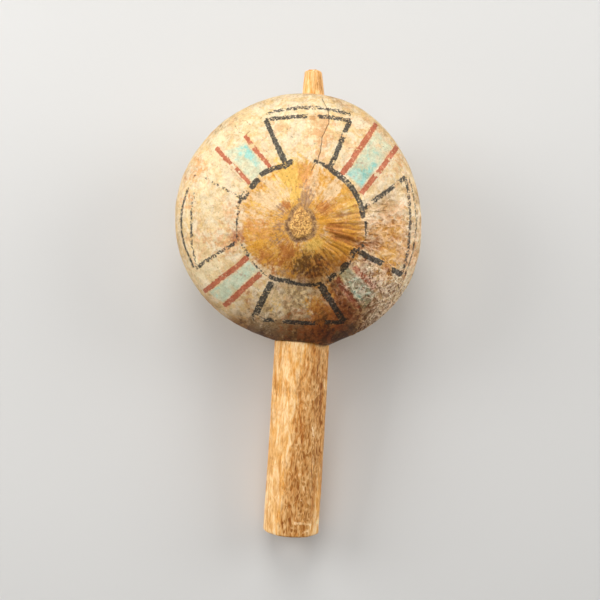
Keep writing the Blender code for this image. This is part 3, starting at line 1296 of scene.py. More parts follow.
@dataclass(frozen=True)
class SkinRelief:
    """The low relief of the dried skin. Heights are in millimetres, angles in degrees.

    A rise or fall is the stretch in which a relief comes up or dies down.
    """

    lump_height: float = 0.7
    lump_size: float = 26.0
    grain_height: float = 0.10
    grain_size: float = 2.6
    soft_grain_size: float = 7.0
    pleats: int = 21
    pleat_depth: float = 0.6
    pleat_middle: float = 22.0
    pleat_spread: float = 11.0
    pleat_side: float = -20.0
    pleat_start: float = 6.6
    folds: int = 62
    fold_height: float = 0.4
    fold_side: float = -14.0
    fold_side_rise: Pair = (0.7, 0.95)
    fold_rise: Pair = (10.0, 18.0)
    fold_fall: Pair = (40.0, 30.0)
    scar_middle: Point = (0.0, -0.9)
    scar_radius: float = 6.2
    scar_peak: float = 2.5
    scar_peak_spread: float = 42.0
    scar_gap_spread: float = 13.0
    scar_width: float = 1.5
    scar_depth: float = 0.55
    core_height: float = 0.3
    core_pits: float = 0.3
    core_pit_size: float = 1.3
    rough_side: float = -43.0
    rough_spread: float = 24.0
    rough_start: float = 31.0
    rough_end: float = 92.0
    rough_height: float = 0.65
    cell: float = 3.6
    wrinkle_height: float = 0.5
    wrinkle_side: float = 3.0
    wrinkle_side_rise: Pair = (0.84, 0.97)
    wrinkle_rise: Pair = (27.0, 32.0)
    wrinkle_fall: Pair = (54.0, 42.0)
    wrinkle_radius: float = 17.0
    wrinkle_stretch: float = 10.0
    crack_depth: float = 0.35
    crack_width: float = 0.7
    crack_wander: float = 0.35
    crease_depth: float = 0.7
    crease_width: float = 0.7
    crack_path: tuple[Point, ...] = (
        (7.5, 60.0), (10.5, 54.0), (11.0, 48.0), (8.0, 41.0), (7.5, 34.0), (6.0, 29.0),
        (3.5, 25.0),
    )
    crease_path: tuple[Point, ...] = ((17.0, -5.5), (24.0, -7.0), (31.0, -10.0))

    def pleat(self, out: Array, around: Array) -> Array:
        """Depth of the soft pleats, which are deepest at one side of the stem.

        Args:
            out: Distances from the stem.
            around: Angles round the stem, in radians.

        Returns:
            The depths, as shares of the greatest one.
        """
        fade = bell(out - self.pleat_middle, self.pleat_spread) * (1 - bell(out, self.pleat_start))
        wander = 0.7 * np.sin(2 * around + 0.6) + 0.5 * np.sin(3 * around)
        furrow = 0.5 + 0.5 * np.cos(self.pleats * around + wander)
        side = 0.5 + 0.5 * np.cos(around - math.radians(self.pleat_side))
        return fade * (0.15 + 0.85 * side**2) * furrow

    def fold(self, out: Array, around: Array, flat: Array) -> Array:
        """Height of the narrower folds that run out to the ring, at one side.

        Args:
            out: Distances from the stem.
            around: Angles round the stem, in radians.
            flat: The same places with the skin unrolled round the stem.

        Returns:
            The heights, as shares of a common fold's.
        """
        sway = ripple(flat, 11.0, shift=3.0) + 0.5 * ripple(flat, 4.5, shift=6.0)
        wave = 0.5 + 0.5 * np.cos(self.folds * around + 2.6 * sway)
        bold = 0.6 + 0.8 * ripple(flat, 7.0, shift=9.0)
        side = self.folded_side(around)
        rise, fall = smooth(out, *self.fold_rise), smooth(out, *self.fold_fall)
        return wave**0.7 * bold * side * rise * fall

    def folded_side(self, around: Array) -> Array:
        """1 on the side of the stem that is folded, falling to 0 on both hands."""
        return smooth(np.cos(around - math.radians(self.fold_side)), *self.fold_side_rise)

    def wrinkle(self, out: Array, around: Array, flat: Array) -> Array:
        """Height of the fine wrinkles that carry the folds on, past the ring.

        Args:
            out: Distances from the stem.
            around: Angles round the stem, in radians.
            flat: The same places with the skin unrolled round the stem.

        Returns:
            The heights, as shares of the greatest one.
        """
        sway = 0.10 * ripple(flat, 6.0, shift=14.0) + 0.05 * ripple(flat, 2.5, shift=17.0)
        rays = long_grain(around + sway, self.wrinkle_radius, out / self.wrinkle_stretch)
        turn = np.cos(around - math.radians(self.wrinkle_side))
        side = smooth(turn, *self.wrinkle_side_rise)
        rise, fall = smooth(out, *self.wrinkle_rise), smooth(out, *self.wrinkle_fall)
        return ridges(rays, 1.0, shift=8.0) * side * rise * fall

    def scar(self, across: Array, along: Array) -> tuple[Array, Array]:
        """The scar's ring, which is drawn out to a peak towards the peg.

        Args:
            across: Places to the right of the stem.
            along: Places from the stem towards the peg.

        Returns:
            The distance to the middle of the ring, less than 0 inside it, and the
            share of the ring that each direction keeps.
        """
        x, y = across - self.scar_middle[0], along - self.scar_middle[1]
        turn = (np.degrees(np.arctan2(y, x)) - 90 + 180) % 360 - 180
        uneven = 0.30 * np.sin(np.radians(turn) * 5) + 0.2 * np.sin(np.radians(turn) * 3 + 1)
        uneven = uneven + 0.5 * bell(np.abs(turn) - 175, 30)
        peak = self.scar_peak * bell(turn, self.scar_peak_spread)
        edge = np.hypot(x, y) - self.scar_radius - peak - uneven
        kept = 1 - 0.8 * bell(turn, self.scar_gap_spread)
        return edge, kept

    def crack(self, across: Array, along: Array) -> Array:
        """Signed distance to the crack, so that its middle is sharp between points.

        Args:
            across: Places to the right of the stem.
            along: Places from the stem towards the peg.

        Returns:
            The distances, less than 0 to the left of the crack.
        """
        path = np.array(self.crack_path)[::-1]
        middle = np.interp(along, path[:, 1], path[:, 0])
        middle += self.crack_wander * ripple(flat_points(along * 0, along), 2.2, shift=19.0)
        beyond = np.maximum(path[0, 1] - along, 0) + np.maximum(along - path[-1, 1], 0)
        return across - middle + np.sign(across - middle) * beyond * 2

    def rough(self, around: Array, flat: Array) -> Array:
        """Find where the skin has shrivelled.

        Args:
            around: Angles round the stem, in radians.
            flat: Places with the skin unrolled round the stem.

        Returns:
            1 where it has, falling to 0 around.
        """
        turn = (np.degrees(around) - self.rough_side + 180) % 360 - 180
        turn = np.abs(turn) + 7 * ripple(flat, 9.0, shift=21.0)
        run = np.hypot(flat[..., 0], flat[..., 1]) + 5 * ripple(flat, 8.0, shift=23.0)
        side = smooth(turn, self.rough_spread, self.rough_spread * 0.6)
        near = smooth(run, self.rough_start, self.rough_start + 7)
        return side * near * smooth(run, self.rough_end, self.rough_end - 12)

    def crinkle(self, flat: Array) -> Array:
        """A net of crests, coarse and fine.

        Args:
            flat: Places with the skin unrolled round the stem.

        Returns:
            The height of the crests, from 0 to 1.
        """
        drift = ripple(flat, 5.0, shift=4.0)[..., None] * np.array((2.0, -1.6, 0.0))
        coarse = net(flat + drift, self.cell, shift=11.0)
        return np.maximum(coarse, 0.6 * net(flat - drift, self.cell * 0.55, shift=23.0))

    def fields(self, points: Array, flat: Array) -> dict[str, Array]:
        """Relief and what the material reads of it.

        Args:
            points: Places of the upright gourd, in millimetres.
            flat: The same places with the skin unrolled round the stem.

        Returns:
            "height" above the smooth skin, and the shares that colour the skin.
        """
        across, along, up = points[..., 0], points[..., 1], points[..., 2]
        out, around = np.hypot(across, along), np.arctan2(along, across)
        front = smooth(up, 0, 6)
        pleat = self.pleat(out, around) * front
        fold = self.fold(out, around, flat) * front
        rough = self.rough(around, flat)
        wrinkle = self.wrinkle(out, around, flat) * front * (1 - rough)
        crests = self.crinkle(flat)
        edge, kept = self.scar(across, along)
        groove = bell(edge, self.scar_width) * front
        core = smooth(edge, -0.7, -1.5) * front
        crack = np.where(up > 0, self.crack(across, along), FAR)
        crease = Stroke(Paint.BLACK, self.crease_path, 0).gap(across, along)
        crease = bell(np.maximum(crease, 0), self.crease_width) * front
        grain = ripple(points, self.grain_size)
        grain = grain + 1.6 * ripple(points, self.soft_grain_size, shift=2.0)
        pits = self.core_pits * ripple(points, self.core_pit_size, shift=7.0)
        height = (
            self.lump_height * ripple(points, self.lump_size)
            + self.grain_height * grain
            + self.fold_height * fold
            + self.wrinkle_height * wrinkle
            + self.rough_height * crests * rough
            - self.pleat_depth * pleat
            - self.scar_depth * groove
            - self.crack_depth * bell(crack, self.crack_width)
            - self.crease_depth * crease
            + (self.core_height + pits) * core
        )
        side = self.folded_side(around)
        between = smooth(fold, 0.22, 0.0) * side * smooth(out, 12, 19) * smooth(out, 36, 29)
        return {
            "height": height,
            # Where the pleats, folds and crease get soiling and painted shade.
            "furrow": np.clip(0.5 * pleat + crease + 0.6 * between, 0, 1),
            # Where the crests get rubbed wear and painted highlights.
            "crest_wear_and_highlight": np.clip(0.8 * wrinkle + 0.5 * crests * rough, 0, 1),
            "rough": rough,
            "scar_ring": groove * kept,
            "scar_core": core,
            "crack": crack,
            "wrinkled": side * smooth(out, 25, 31) * front * (1 - rough),
            # Painted shade: darker towards the edge of the face, except on its right.
            "painted_rim_shade": smooth(out, 55, 63) * (1 - smooth(np.cos(around + 0.3), 0.6, 0.9)),
        }


@dataclass(frozen=True)
class StickForm:
    """The stick's turned form, along +Y of the rattle's frame, in millimetres.

    A knife cut is its angle round the stick, in degrees, and its depth.
    """

    handle_end: float = 160.0
    handle_radius: float = 14.3
    handle_taper: float = 0.3
    end_round: float = 1.2
    shoulder: float = 62.0
    shaft_radius: float = 9.0
    peg_root: float = 61.5
    peg_root_radius: float = 6.0
    peg_tip: float = 77.0
    peg_tip_radius: float = 4.5
    peg_bend: float = 2.3
    whittle: float = 0.025
    deepest_cut: float = 0.93
    edge_break: float = 0.6
    tip_flat: float = 0.72
    tip_slope: float = 1.0
    least_radius: float = 0.35
    gap: float = 0.3
    seat_room: float = 0.6
    hole_reach: float = 5.0
    seat_reach: float = 10.0
    knife_cuts: tuple[Pair, ...] = (
        (132, 0.55), (84, 0.45), (40, 0.6), (-8, 0.5), (-62, 0.6), (-118, 0.5), (-170, 0.6),
    )

    def profile(self) -> list[Point]:
        """Draw half the stick's outline.

        Returns:
            Corners as (place along the stick, radius), from the peg to the handle's end.
        """
        top = self.handle_radius - self.handle_taper
        middle = 0.5 * (self.peg_root_radius + self.shaft_radius)
        rounding = [
            (
                -self.handle_end + self.end_round * (1 - math.sin(a)),
                self.handle_radius - self.end_round * (1 - math.cos(a)),
            )
            for a in np.radians(np.linspace(0, 90, 6))
        ]
        return [
            (self.peg_tip, self.least_radius),
            (self.peg_tip, self.tip_flat * self.peg_tip_radius),
            (self.peg_tip - self.tip_slope, self.peg_tip_radius),
            (self.peg_root, self.peg_root_radius),
            (0.0, middle),
            (-self.shoulder, self.shaft_radius),
            (-self.shoulder, top - self.edge_break),
            (-self.shoulder - self.edge_break, top),
            *rounding,
            (-self.handle_end, self.least_radius),
        ]

    def hole_profile(self) -> list[Point]:
        """Draw half the outline of the hole that the shaft and the peg need.

        Returns:
            Corners as (place along the stick, radius).
        """
        spare = self.gap + self.whittle * self.shaft_radius
        middle = 0.5 * (self.peg_root_radius + self.shaft_radius)
        return [
            (self.peg_tip, self.least_radius),
            (self.peg_tip, self.peg_root_radius + spare),
            (self.peg_root, self.peg_root_radius + spare),
            (0.0, middle + spare),
            (-self.shoulder - self.hole_reach, self.shaft_radius + spare),
            (-self.shoulder - self.hole_reach, self.least_radius),
        ]

    def seat_profile(self) -> list[Point]:
        """Draw half the outline of the flat seat that the handle's shoulder bears on.

        Returns:
            Corners as (place along the stick, radius).
        """
        radius, least = self.handle_radius * (1 + self.whittle) + self.seat_room, self.least_radius
        near, far = self.gap - self.shoulder, -self.shoulder - self.seat_reach
        return [(near, least), (near, radius), (far, radius), (far, least)]

    def bent(self, points: Array) -> Array:
        """The points moved as the branch bends, towards the peg."""
        run = np.maximum(points[..., 1], 0) / self.peg_tip
        return shifted(points, 0, -self.peg_bend * run**2)

    def whittled(self, along: Array, radius: Array, around: Array) -> Array:
        """The radius that the knife has left.

        Args:
            along: Place along the stick.
            radius: Radius of the turned stick.
            around: Angle round the stick, with a quarter turn at the top.

        Returns:
            The radius at each place, with the bends of the branch and flat knife cuts.
        """
        turn = along / self.handle_end
        bends = np.cos(2 * around + 0.8 + 1.5 * turn) + 0.6 * np.cos(5 * around + 4 * turn)
        wide = radius * (1 + self.whittle * 0.5 * bends)
        handle = smooth(along, -self.shoulder + 1, -self.shoulder - 1)
        for angle, depth in self.knife_cuts:
            waver = math.radians(angle) + 0.05 * np.sin(along / 17 + angle)
            uneven = depth * (1 + 0.4 * np.sin(along / 23 + 2 * angle))
            facing = np.maximum(np.cos(around - waver), 0.5)
            cut = np.maximum((radius - uneven) / facing, self.deepest_cut * radius)
            wide = np.where(handle > 0, np.minimum(wide, cut), wide)
        return wide


def spaced(profile: list[Point], spacing: float, wide_spacing: float, hidden: Pair) -> Array:
    """A half outline with points added between its own.

    Args:
        profile: The outline's corners.
        spacing: Distance between points.
        wide_spacing: Distance between points on the hidden stretch.
        hidden: Where the stretch that doesn't show starts and ends.

    Returns:
        One row for each point.
    """
    found = []
    for start, end in zip(profile, profile[1:]):
        near, far = np.array(start), np.array(end)
        inside = hidden[0] < (near[0] + far[0]) / 2 < hidden[1] and near[0] != far[0]
        step = wide_spacing if inside else spacing
        steps = max(1, round(float(np.linalg.norm(far - near)) / step))
        found += [near + (far - near) * i / steps for i in range(steps)]
    return np.array([*found, profile[-1]])


def turned(rows: Array, count: int) -> tuple[Array, Array, Array]:
    """Turn a half outline round +Y.

    Args:
        rows: Place along the axis and radius of each ring.
        count: Points in each ring.

    Returns:
        Place along the axis, radius and angle of every point, as three grids.
    """
    angles = np.arange(count) / count * TURN
    along = np.repeat(rows[:, :1], count, axis=1)
    radius = np.repeat(rows[:, 1:], count, axis=1)
    return along, radius, np.repeat(angles[None], len(rows), axis=0)


def turned_points(along: Array, radius: Array, around: Array) -> Array:
    """Places round +Y, with angle 0 at +X and a quarter turn at +Z."""
    return np.stack([radius * np.cos(around), along, radius * np.sin(around)], axis=-1)


@dataclass(frozen=True)
class Resting:
    """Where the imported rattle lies."""

    to_world: Matrix

    @classmethod
    def of(cls, record: dict[str, Any], stick: StickForm) -> Resting:
        """Read the rattle's frame from the record's mount on the handle's end.

        Args:
            record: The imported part's record.
            stick: The stick's form, which says how far the handle's end is.

        Returns:
            Where the rattle lies.
        """
        mount = next(m for m in record["mounts"] if m["name"] == "handle_end")
        along = -Vector(mount["axis"]).normalized()
        across = Vector((1, 0, 0))
        up = across.cross(along)
        origin = Vector(mount["pos_m"]) + along * stick.handle_end * MM
        turn = Matrix((across, along, up)).transposed().to_4x4()
        return cls(Matrix.Translation(origin) @ turn @ Matrix.Scale(MM, 4))


FRONT = FacePattern(
    panels=(
        Panel(
            (-9.2, 27.8), (-19.6, 47.5), (21.3, 50.0), (12.0, 26.5),
            widths=(2.5, 2.0, 1.7, 2.5), kept=(1.0, 0.8, 0.66, 0.86),
            bulge=1.8, outer_gap=3.2, outer_bulge=3.0,
        ),
        Panel(
            (29.8, 8.4), (50.6, 24.4), (52.0, -24.0), (28.2, -12.0),
            widths=(2.2, 1.6, 0.9, 2.8), kept=(0.82, 0.66, 0.62, 1.0),
            bulge=3.0, outer_gap=1.8, outer_bulge=4.6,
        ),
        Panel(
            (11.0, -29.3), (24.4, -48.2), (-20.4, -49.5), (-12.3, -29.3),
            widths=(3.4, 2.3, 1.2, 3.3), kept=(0.92, 0.92, 0.15, 0.88),
            bulge=0.6, outer_gap=2.6, outer_bulge=1.0,
        ),
        Panel(
            (-30.4, -11.2), (-49.8, -26.2), (-51.0, 19.5), (-29.8, 10.4),
            widths=(1.7, 1.1, 1.1, 1.2), kept=(0.7, 0.6, 0.85, 0.5),
            bulge=3.0, outer_gap=1.5, outer_bulge=6.8,
        ),
    ),
    stripes=(
        StripePair(
            ((18.1, 23.8), (35.0, 49.8)), ((28.3, 15.4), (46.2, 39.2)), kept_wash=1.0
        ),
        StripePair(
            ((-16.1, 25.4), (-29.5, 39.2)),
            ((-25.2, 17.0), (-43.0, 32.6)),
            kept_wash=0.95,
            wash=(0.02, 0.85),
            width=2.1,
        ),
        StripePair(
            ((-24.1, -17.7), (-45.8, -38.5)),
            ((-17.7, -25.4), (-35.2, -44.5)),
            kept_wash=1.0,
            wash=(0.02, 0.95),
        ),
        StripePair(
            ((18.7, -25.7), (30.9, -41.1)),
            ((26.8, -19.7), (38.3, -30.6)),
            kept_red=0.85,
            kept_wash=1.15,
            wash=(-0.1, 1.15),
        ),
    ),
    ring=(
        RingArc(8, 64, 2.6, 0.84, 30.0, 28.6), RingArc(64, 81, 1.6, 0.8, 28.6, 30.1),
        RingArc(102, 110, 2.6, 0.8, 29.0, 27.6), RingArc(108, 134, 2.5, 0.86, 28.0, 29.4),
        RingArc(138, 149, 2.7, 0.95, 28.7), RingArc(156, 160, 3.0, 0.7, 29.5),
        RingArc(161, 170, 1.6, 0.8, 30.2, 31.0), RingArc(172, 200, 0.9, 0.8, 30.0, 31.3),
        RingArc(204, 216, 2.0, 0.5, 30.0, 29.2), RingArc(222, 240, 0.8, 0.72, 29.6, 30.2),
        RingArc(242, 262, 2.4, 0.95, 29.7, 28.8), RingArc(262, 292, 1.8, 0.95, 28.9, 30.6),
        RingArc(300, 306, 2.6, 0.9, 30.3, 29.7), RingArc(315, 321, 3.2, 1.1, 29.6),
        RingArc(296, 338, 0.8, 0.66, 31.6, 29.9), RingArc(330, 338, 1.2, 0.85, 27.9, 28.6),
        RingArc(338, 352, 0.9, 0.6, 30.5, 31.8), RingArc(352, 365, 1.3, 0.85, 31.6, 30.8),
    ),
    extra=(
        Stroke(Paint.SCRATCH, ((-34, 46), (-29.5, 46.6), (-26.5, 44.5)), 0.5, 0.9),
        Stroke(Paint.SCRATCH, ((-34.5, 44), (-32.5, 40.5), (-28.5, 40), (-27, 42)), 0.5, 0.9),
        Stroke(Paint.SCRATCH, ((-39, 26), (-34, 22), (-28, 17)), 0.4, 0.9),
        Stroke(Paint.SCRATCH, ((-37, 27.5), (-30, 20.5)), 0.4, 0.8),
        Stroke(Paint.BLACK, ((30.5, -9.0), (26.0, -13.5)), 1.2, 0.9),
    ),
    patches={
        Mark.PALE: (
            Patch(-8, 54, 20, 0.4), Patch(-44, 8, 12, 0.8), Patch(-30, 44, 10, 0.6),
            Patch(-42, 38, 7, 0.9), Patch(-45, 26, 6, 1.4), Patch(-44, -25, 7, 1.3),
            Patch(-53, -31, 7, 1.2), Patch(-28, 22, 8, 0.6), Patch(-13, 30, 4, 0.9),
        ),
        Mark.WARM: (
            Patch(43, 0, 12, 1.1), Patch(45, -12, 10, 1.2), Patch(56, -15, 8, 0.9),
            Patch(5, 46, 9, 0.6), Patch(9, 38, 7, 0.7), Patch(-31, 4, 8, 0.7),
            Patch(29, 42, 9, 0.6), Patch(46, 31, 9, 0.6), Patch(-42, -12, 10, 0.5),
            Patch(-34, -13, 6, 0.8),
        ),
        # Along the lower edge, by the handle, and at the upper left edge: partly painted shade.
        Mark.DULL: (
            Patch(0, -40, 18, 1.0), Patch(-22, -58, 9, 1.2), Patch(-8, -58, 9, 1.5),
            Patch(8, -58, 9, 1.5), Patch(22, -56, 8, 1.2), Patch(30, -50, 12, 0.9),
            Patch(38, -44, 8, 0.8), Patch(-44, 45, 5, 0.5),
        ),
        Mark.AMBER: (
            Patch(22, -11, 6, 1.4, 1.4), Patch(19, -2, 5, 1.0, 1.6), Patch(10, 3, 3.5, 1.3),
            Patch(43, -2, 5, 1.7, 1.6), Patch(43, -13, 5, 1.8, 1.4), Patch(26, -7, 4, 1.3),
            Patch(43, -23, 5, 1.6), Patch(-20, -12, 6, 0.9, 1.4), Patch(17, -33, 3.5, 1.6, 2.0),
            Patch(22, -41, 3.5, 1.4, 2.0), Patch(10, -42, 5, 1.6, 1.6), Patch(16, -45, 4, 1.6),
        ),
        Mark.GOLD: (
            Patch(-8, 21, 6, 1.6, 1.5), Patch(-3, 15, 4, 1.1, 1.8), Patch(-12, 12, 4, 1.2, 1.5),
            Patch(-21, 8, 6, 1.0, 1.5), Patch(23, 8, 6, 1.0, 1.2), Patch(5, -10, 4, 1.4),
            Patch(9, -8, 3, 1.1), Patch(-2, 30, 4, 0.6), Patch(6, -40, 3, 0.8, 1.5),
            Patch(-10, -42, 3, 0.7, 1.5),
        ),
        Mark.CHALK: (
            Patch(-9, 15, 3, 1.3, 1.8), Patch(-16, 17, 3.5, 1.2, 1.8),
            Patch(-20.5, 10.6, 3.5, 1.4, 1.8), Patch(-13, 9, 3, 1.3, 1.6),
            Patch(14, 16, 4.5, 1.6, 1.5), Patch(4, 17, 4, 1.2, 1.4), Patch(6, 25, 4, 1.0, 1.3),
            Patch(20, 6, 3, 1.0, 1.4), Patch(12, -3, 3, 0.9, 1.3), Patch(0, -10, 3, 0.9),
            Patch(1, -44, 4, 0.9), Patch(-22, 2, 5, 1.1, 1.8), Patch(-13, -24, 4, 1.3),
            Patch(-9, -36, 5, 0.8, 2.0), Patch(9, -33, 3, 0.8, 2.0), Patch(15, -38, 2, 1.0, 2.0),
            Patch(37, -34, 8, 0.9),
        ),
        Mark.PEACH: (
            Patch(-20, -3, 7, 0.8, 1.5), Patch(13, 8, 4, 0.8, 1.5), Patch(1, 22, 4, 1.3, 2.0),
            Patch(25, 2, 5, 0.7, 1.5), Patch(46, 4, 8, 0.8), Patch(-52, 22, 7, 0.9),
            Patch(-56, 6, 5, 0.8),
        ),
        Mark.MAUVE: (
            Patch(1.5, 12, 4, 1.4, 1.8), Patch(-9, 7, 3.5, 1.1), Patch(-10.5, -1, 3.5, 1.0),
            Patch(-10, -9, 4, 0.9), Patch(15, -5, 3, 0.8), Patch(-6, -25, 5, 0.9),
            Patch(3, -26, 5, 1.0),
        ),
        Mark.ROSE: (
            Patch(-30, -9, 4, 1.3), Patch(30, -22, 8, 0.9), Patch(24, -43, 8, 0.9),
            Patch(38, -30, 6, 0.9),
        ),
        Mark.RUST: (
            Patch(10, 8, 3.5, 1.4, 1.2), Patch(16, -1, 3.5, 1.4, 1.4), Patch(-5, -12.5, 4.5, 1.5),
            Patch(-7.5, 8, 2.5, 1.6), Patch(-18, -15, 6, 0.4, 1.4), Patch(-10, -20, 5, 0.8, 1.4),
            Patch(22, -6, 5, 1.0, 1.5), Patch(45, -7, 5, 0.8), Patch(33, -9, 4, 1.3, 1.6),
            Patch(22, -38, 5, 1.3), Patch(14, -54, 7, 1.5), Patch(-30, -8, 3.5, 1.2),
            Patch(-16, -17, 4, 0.5, 1.3), Patch(-22, -38, 5, 0.7), Patch(44, -19, 3, 1.2),
            Patch(14, -42, 7, 0.8, 1.3), Patch(20, -33, 5, 0.7, 2.0), Patch(26, -46, 7, 1.0),
            Patch(8, -56, 14, 1.1), Patch(9, -17, 5, 1.0),
        ),
        # Below the stem and along the lower edge: partly painted shade.
        Mark.UMBER: (
            Patch(1, -19.5, 4.5, 1.1, 1.3), Patch(9, -19, 6, 1.2, 1.3), Patch(4, -35, 4, 0.6, 1.5),
            Patch(13, -47, 5, 1.0), Patch(18, -30, 3, 0.6, 1.5), Patch(-16, -61, 8, 1.0),
            Patch(2, -62, 9, 1.0), Patch(20, -60, 9, 1.2), Patch(32, -52, 6, 0.9),
        ),
        Mark.SCUFF: (
            Patch(3, 50, 2.2, 2.0), Patch(-56, 20, 9, 0.8), Patch(33.5, 10.5, 1.6, 1.2),
            Patch(46.5, 20.6, 1.3, 2.0), Patch(43.0, -20.3, 2.4, 3.0), Patch(19.5, 42.5, 1.4, 1.6),
            Patch(-34, 24.5, 1.3, 1.6), Patch(-25.5, 34.5, 1.3, 1.2), Patch(35.5, 25, 1.2, 1.2),
            Patch(-18.5, -49.4, 1.6, 2.4), Patch(-8, -49.4, 3.5, 0.8),
            Patch(12.7, -47.9, 2.4, 1.6), Patch(37, 38, 5, 0.9),
        ),
        Mark.TEAL: (
            Patch(26, 22, 6.5, 2.4), Patch(29, -30, 8, 0.7), Patch(-27, 32, 5, 1.0),
            Patch(-38, -34, 5, 0.5),
        ),
        # Soiling together with painted shade, over the lower and the right side of the face.
        Mark.GRIME_AND_SHADE: (
            Patch(36, -38, 9, 0.3), Patch(44, 2, 11, 0.28), Patch(3, -16, 4, 0.4),
            Patch(12, -18, 4, 0.6), Patch(6, -22, 5, 0.5), Patch(18, -26, 6, 0.9),
            Patch(21, -17, 5, 0.8), Patch(8, -28, 5, 1.0), Patch(-2, -26, 5, 0.5),
            Patch(-8, -30, 4, 0.3), Patch(12, -36, 5, 0.5), Patch(28, -24, 7, 0.5),
            Patch(25, -42, 8, 1.0), Patch(38, -38, 7, 0.4), Patch(28, -54, 9, 1.3),
            Patch(14, -54, 7, 1.0), Patch(0, -55, 9, 0.9), Patch(-12, -62, 8, 0.7),
            Patch(-28, -56, 9, 1.2), Patch(-22, -42, 6, 0.5), Patch(-46, -46, 7, 0.7),
            Patch(29, -12, 5, 0.7), Patch(36, -6, 6, 0.6), Patch(31, -1, 4, 0.5),
            Patch(40, 11, 7, 0.7), Patch(60, 16, 6, 0.6), Patch(57, 0, 5, 0.4),
        ),
    },
    disc_bulges=((-95, 34, -1.5), (-4, 26, 3.0)),
)

BACK = FacePattern(
    panels=(
        Panel((-10, 28), (-20, 47), (20, 47), (10, 28)),
        Panel((10, -28), (20, -47), (-20, -47), (-10, -28)),
    ),
    stripes=(
        StripePair(((17, 24), (32, 42)), ((26, 15), (43, 31))),
        StripePair(((-17, 24), (-32, 42)), ((-26, 15), (-43, 31))),
    ),
    ring=(RingArc(0, 360, 2.2, 0.7),),
)


@dataclass
class PaintedGourd:
    """The gourd: a hollow shell with a painted face and holes for the stick."""

    form: GourdForm = field(default_factory=GourdForm)
    relief: SkinRelief = field(default_factory=SkinRelief)
    finish: PaintedSkin = field(default_factory=PaintedSkin)
    columns: int = 520
    front_step: float = 0.68
    back_step: float = 2.0
    front_end: float = 1.75
    back_start: float = 2.1
    stem_room: float = 0.4
    line_points: int = 4001
    cavity_rows: int = 26
    cavity_columns: int = 48
    hole_columns: int = 64
    ray_radius: float = 9.0
    ray_stretch: float = 8.0
    sharp_angle: float = 55.0

    def rows(self) -> Array:
        """Space the rings of points, closer together on the face.

        Returns:
            The polar angle of each ring.
        """
        polar = np.linspace(0, math.pi, self.line_points)
        line = self.form.plain(polar, np.zeros_like(polar))
        length = np.linalg.norm(np.diff(line, axis=0), axis=1)
        behind = smooth(polar[1:], self.front_end, self.back_start)
        wanted = self.front_step + (self.back_step - self.front_step) * behind
        steps = np.concatenate([[0], np.cumsum(length / wanted)])
        places = np.arange(self.stem_room, steps[-1] - 0.5)
        return np.interp(places, steps, polar)

    def skin_points(self) -> Array:
        """Shape the outside, with its relief.

        Returns:
            Rings of points in the gourd's frame.
        """
        around = np.arange(self.columns) / self.columns * TURN
        polar, around = np.meshgrid(self.rows(), around, indexing="ij")
        points = self.form.plain(polar, around)
        down = np.gradient(points, axis=0)
        side = np.roll(points, -1, axis=1) - np.roll(points, 1, axis=1)
        normal = np.cross(down, side)
        normal /= np.linalg.norm(normal, axis=-1, keepdims=True)
        height = self.relief.fields(points, self.form.unrolled(points))["height"]
        lip = self.form.lip(points)
        points = self.form.lopsided(points + normal * height[..., None])
        return shifted(points, 1, -lip)

    def cavity_mesh(self, to_world: Matrix) -> Mesh:
        """Make the shape of the chamber inside the wall.

        Args:
            to_world: The gourd's place in the world.

        Returns:
            The chamber's closed mesh.
        """
        polar = np.linspace(0, math.pi, self.cavity_rows)[1:-1]
        around = np.arange(self.cavity_columns) / self.cavity_columns * TURN
        polar, around = np.meshgrid(polar, around, indexing="ij")
        rings = moved(self.form.cavity(polar, around), to_world)
        ends = self.form.cavity(np.array([0, math.pi]), np.zeros(2))
        return grid_mesh("chamber", rings, *moved(ends, to_world))

    def build(self, resting: Resting, stick: StickForm) -> Object:
        """Make the gourd.

        Args:
            resting: Where the rattle lies.
            stick: The stick that the holes are made for.

        Returns:
            The gourd's object, dressed and riding on the rattle.
        """
        to_world = resting.to_world @ self.form.matrix()
        points = self.skin_points()
        rings = moved(points, to_world)
        rings[..., 2] = np.maximum(rings[..., 2], 0)
        ends = moved(np.stack([points[0].mean(axis=0), points[-1].mean(axis=0)]), to_world)
        piece = solid("painted_gourd", grid_mesh("painted_gourd", rings, *ends))
        tools = [self.cavity_mesh(to_world)]
        for name, profile in (("hole", stick.hole_profile()), ("seat", stick.seat_profile())):
            along, radius, around = turned(np.array(profile), self.hole_columns)
            rings = moved(stick.bent(turned_points(along, radius, around)), resting.to_world)
            tools.append(grid_mesh(name, rings, rings[0].mean(axis=0), rings[-1].mean(axis=0)))
        cut_away(piece, tools)
        self.paint(piece.data, to_world.inverted())
        piece.data.set_sharp_from_angle(angle=math.radians(self.sharp_angle))
        piece.data.materials.clear()
        piece.data.materials.append(self.finish.material())
        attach(piece, "root")
        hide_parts("gourd_shell")
        return piece

    def paint(self, mesh: Mesh, to_gourd: Matrix) -> None:
        """Store on the mesh what its material reads.

        Args:
            mesh: The gourd's mesh, in the world's frame.
            to_gourd: Carries places of the world into the gourd's frame.
        """
        points = self.form.upright(moved(coordinates(mesh), to_gourd))
        across, along, up = points.T
        front = FRONT.fields(across, along)
        back = BACK.fields(-across, along)
        marks = [mark.value for mark in Mark]
        for name in front:
            share = smooth(up, -14, -2) if name in marks else np.where(up > 0, 1, 0)
            write_values(mesh, name, front[name] * share + back[name] * (1 - share))
        flat = self.form.unrolled(points)
        relief = self.relief.fields(points, flat)
        relief.pop("height")
        for name, values in relief.items():
            write_values(mesh, name, values)
        run = np.hypot(across, along) / self.ray_stretch
        rays = long_grain(np.arctan2(along, across), self.ray_radius, run)
        write_values(mesh, "place", points)
        write_values(mesh, "flat", flat)
        write_values(mesh, "rays", rays)
        write_values(mesh, "inside", self.form.inside(points))


# --- The stick ---


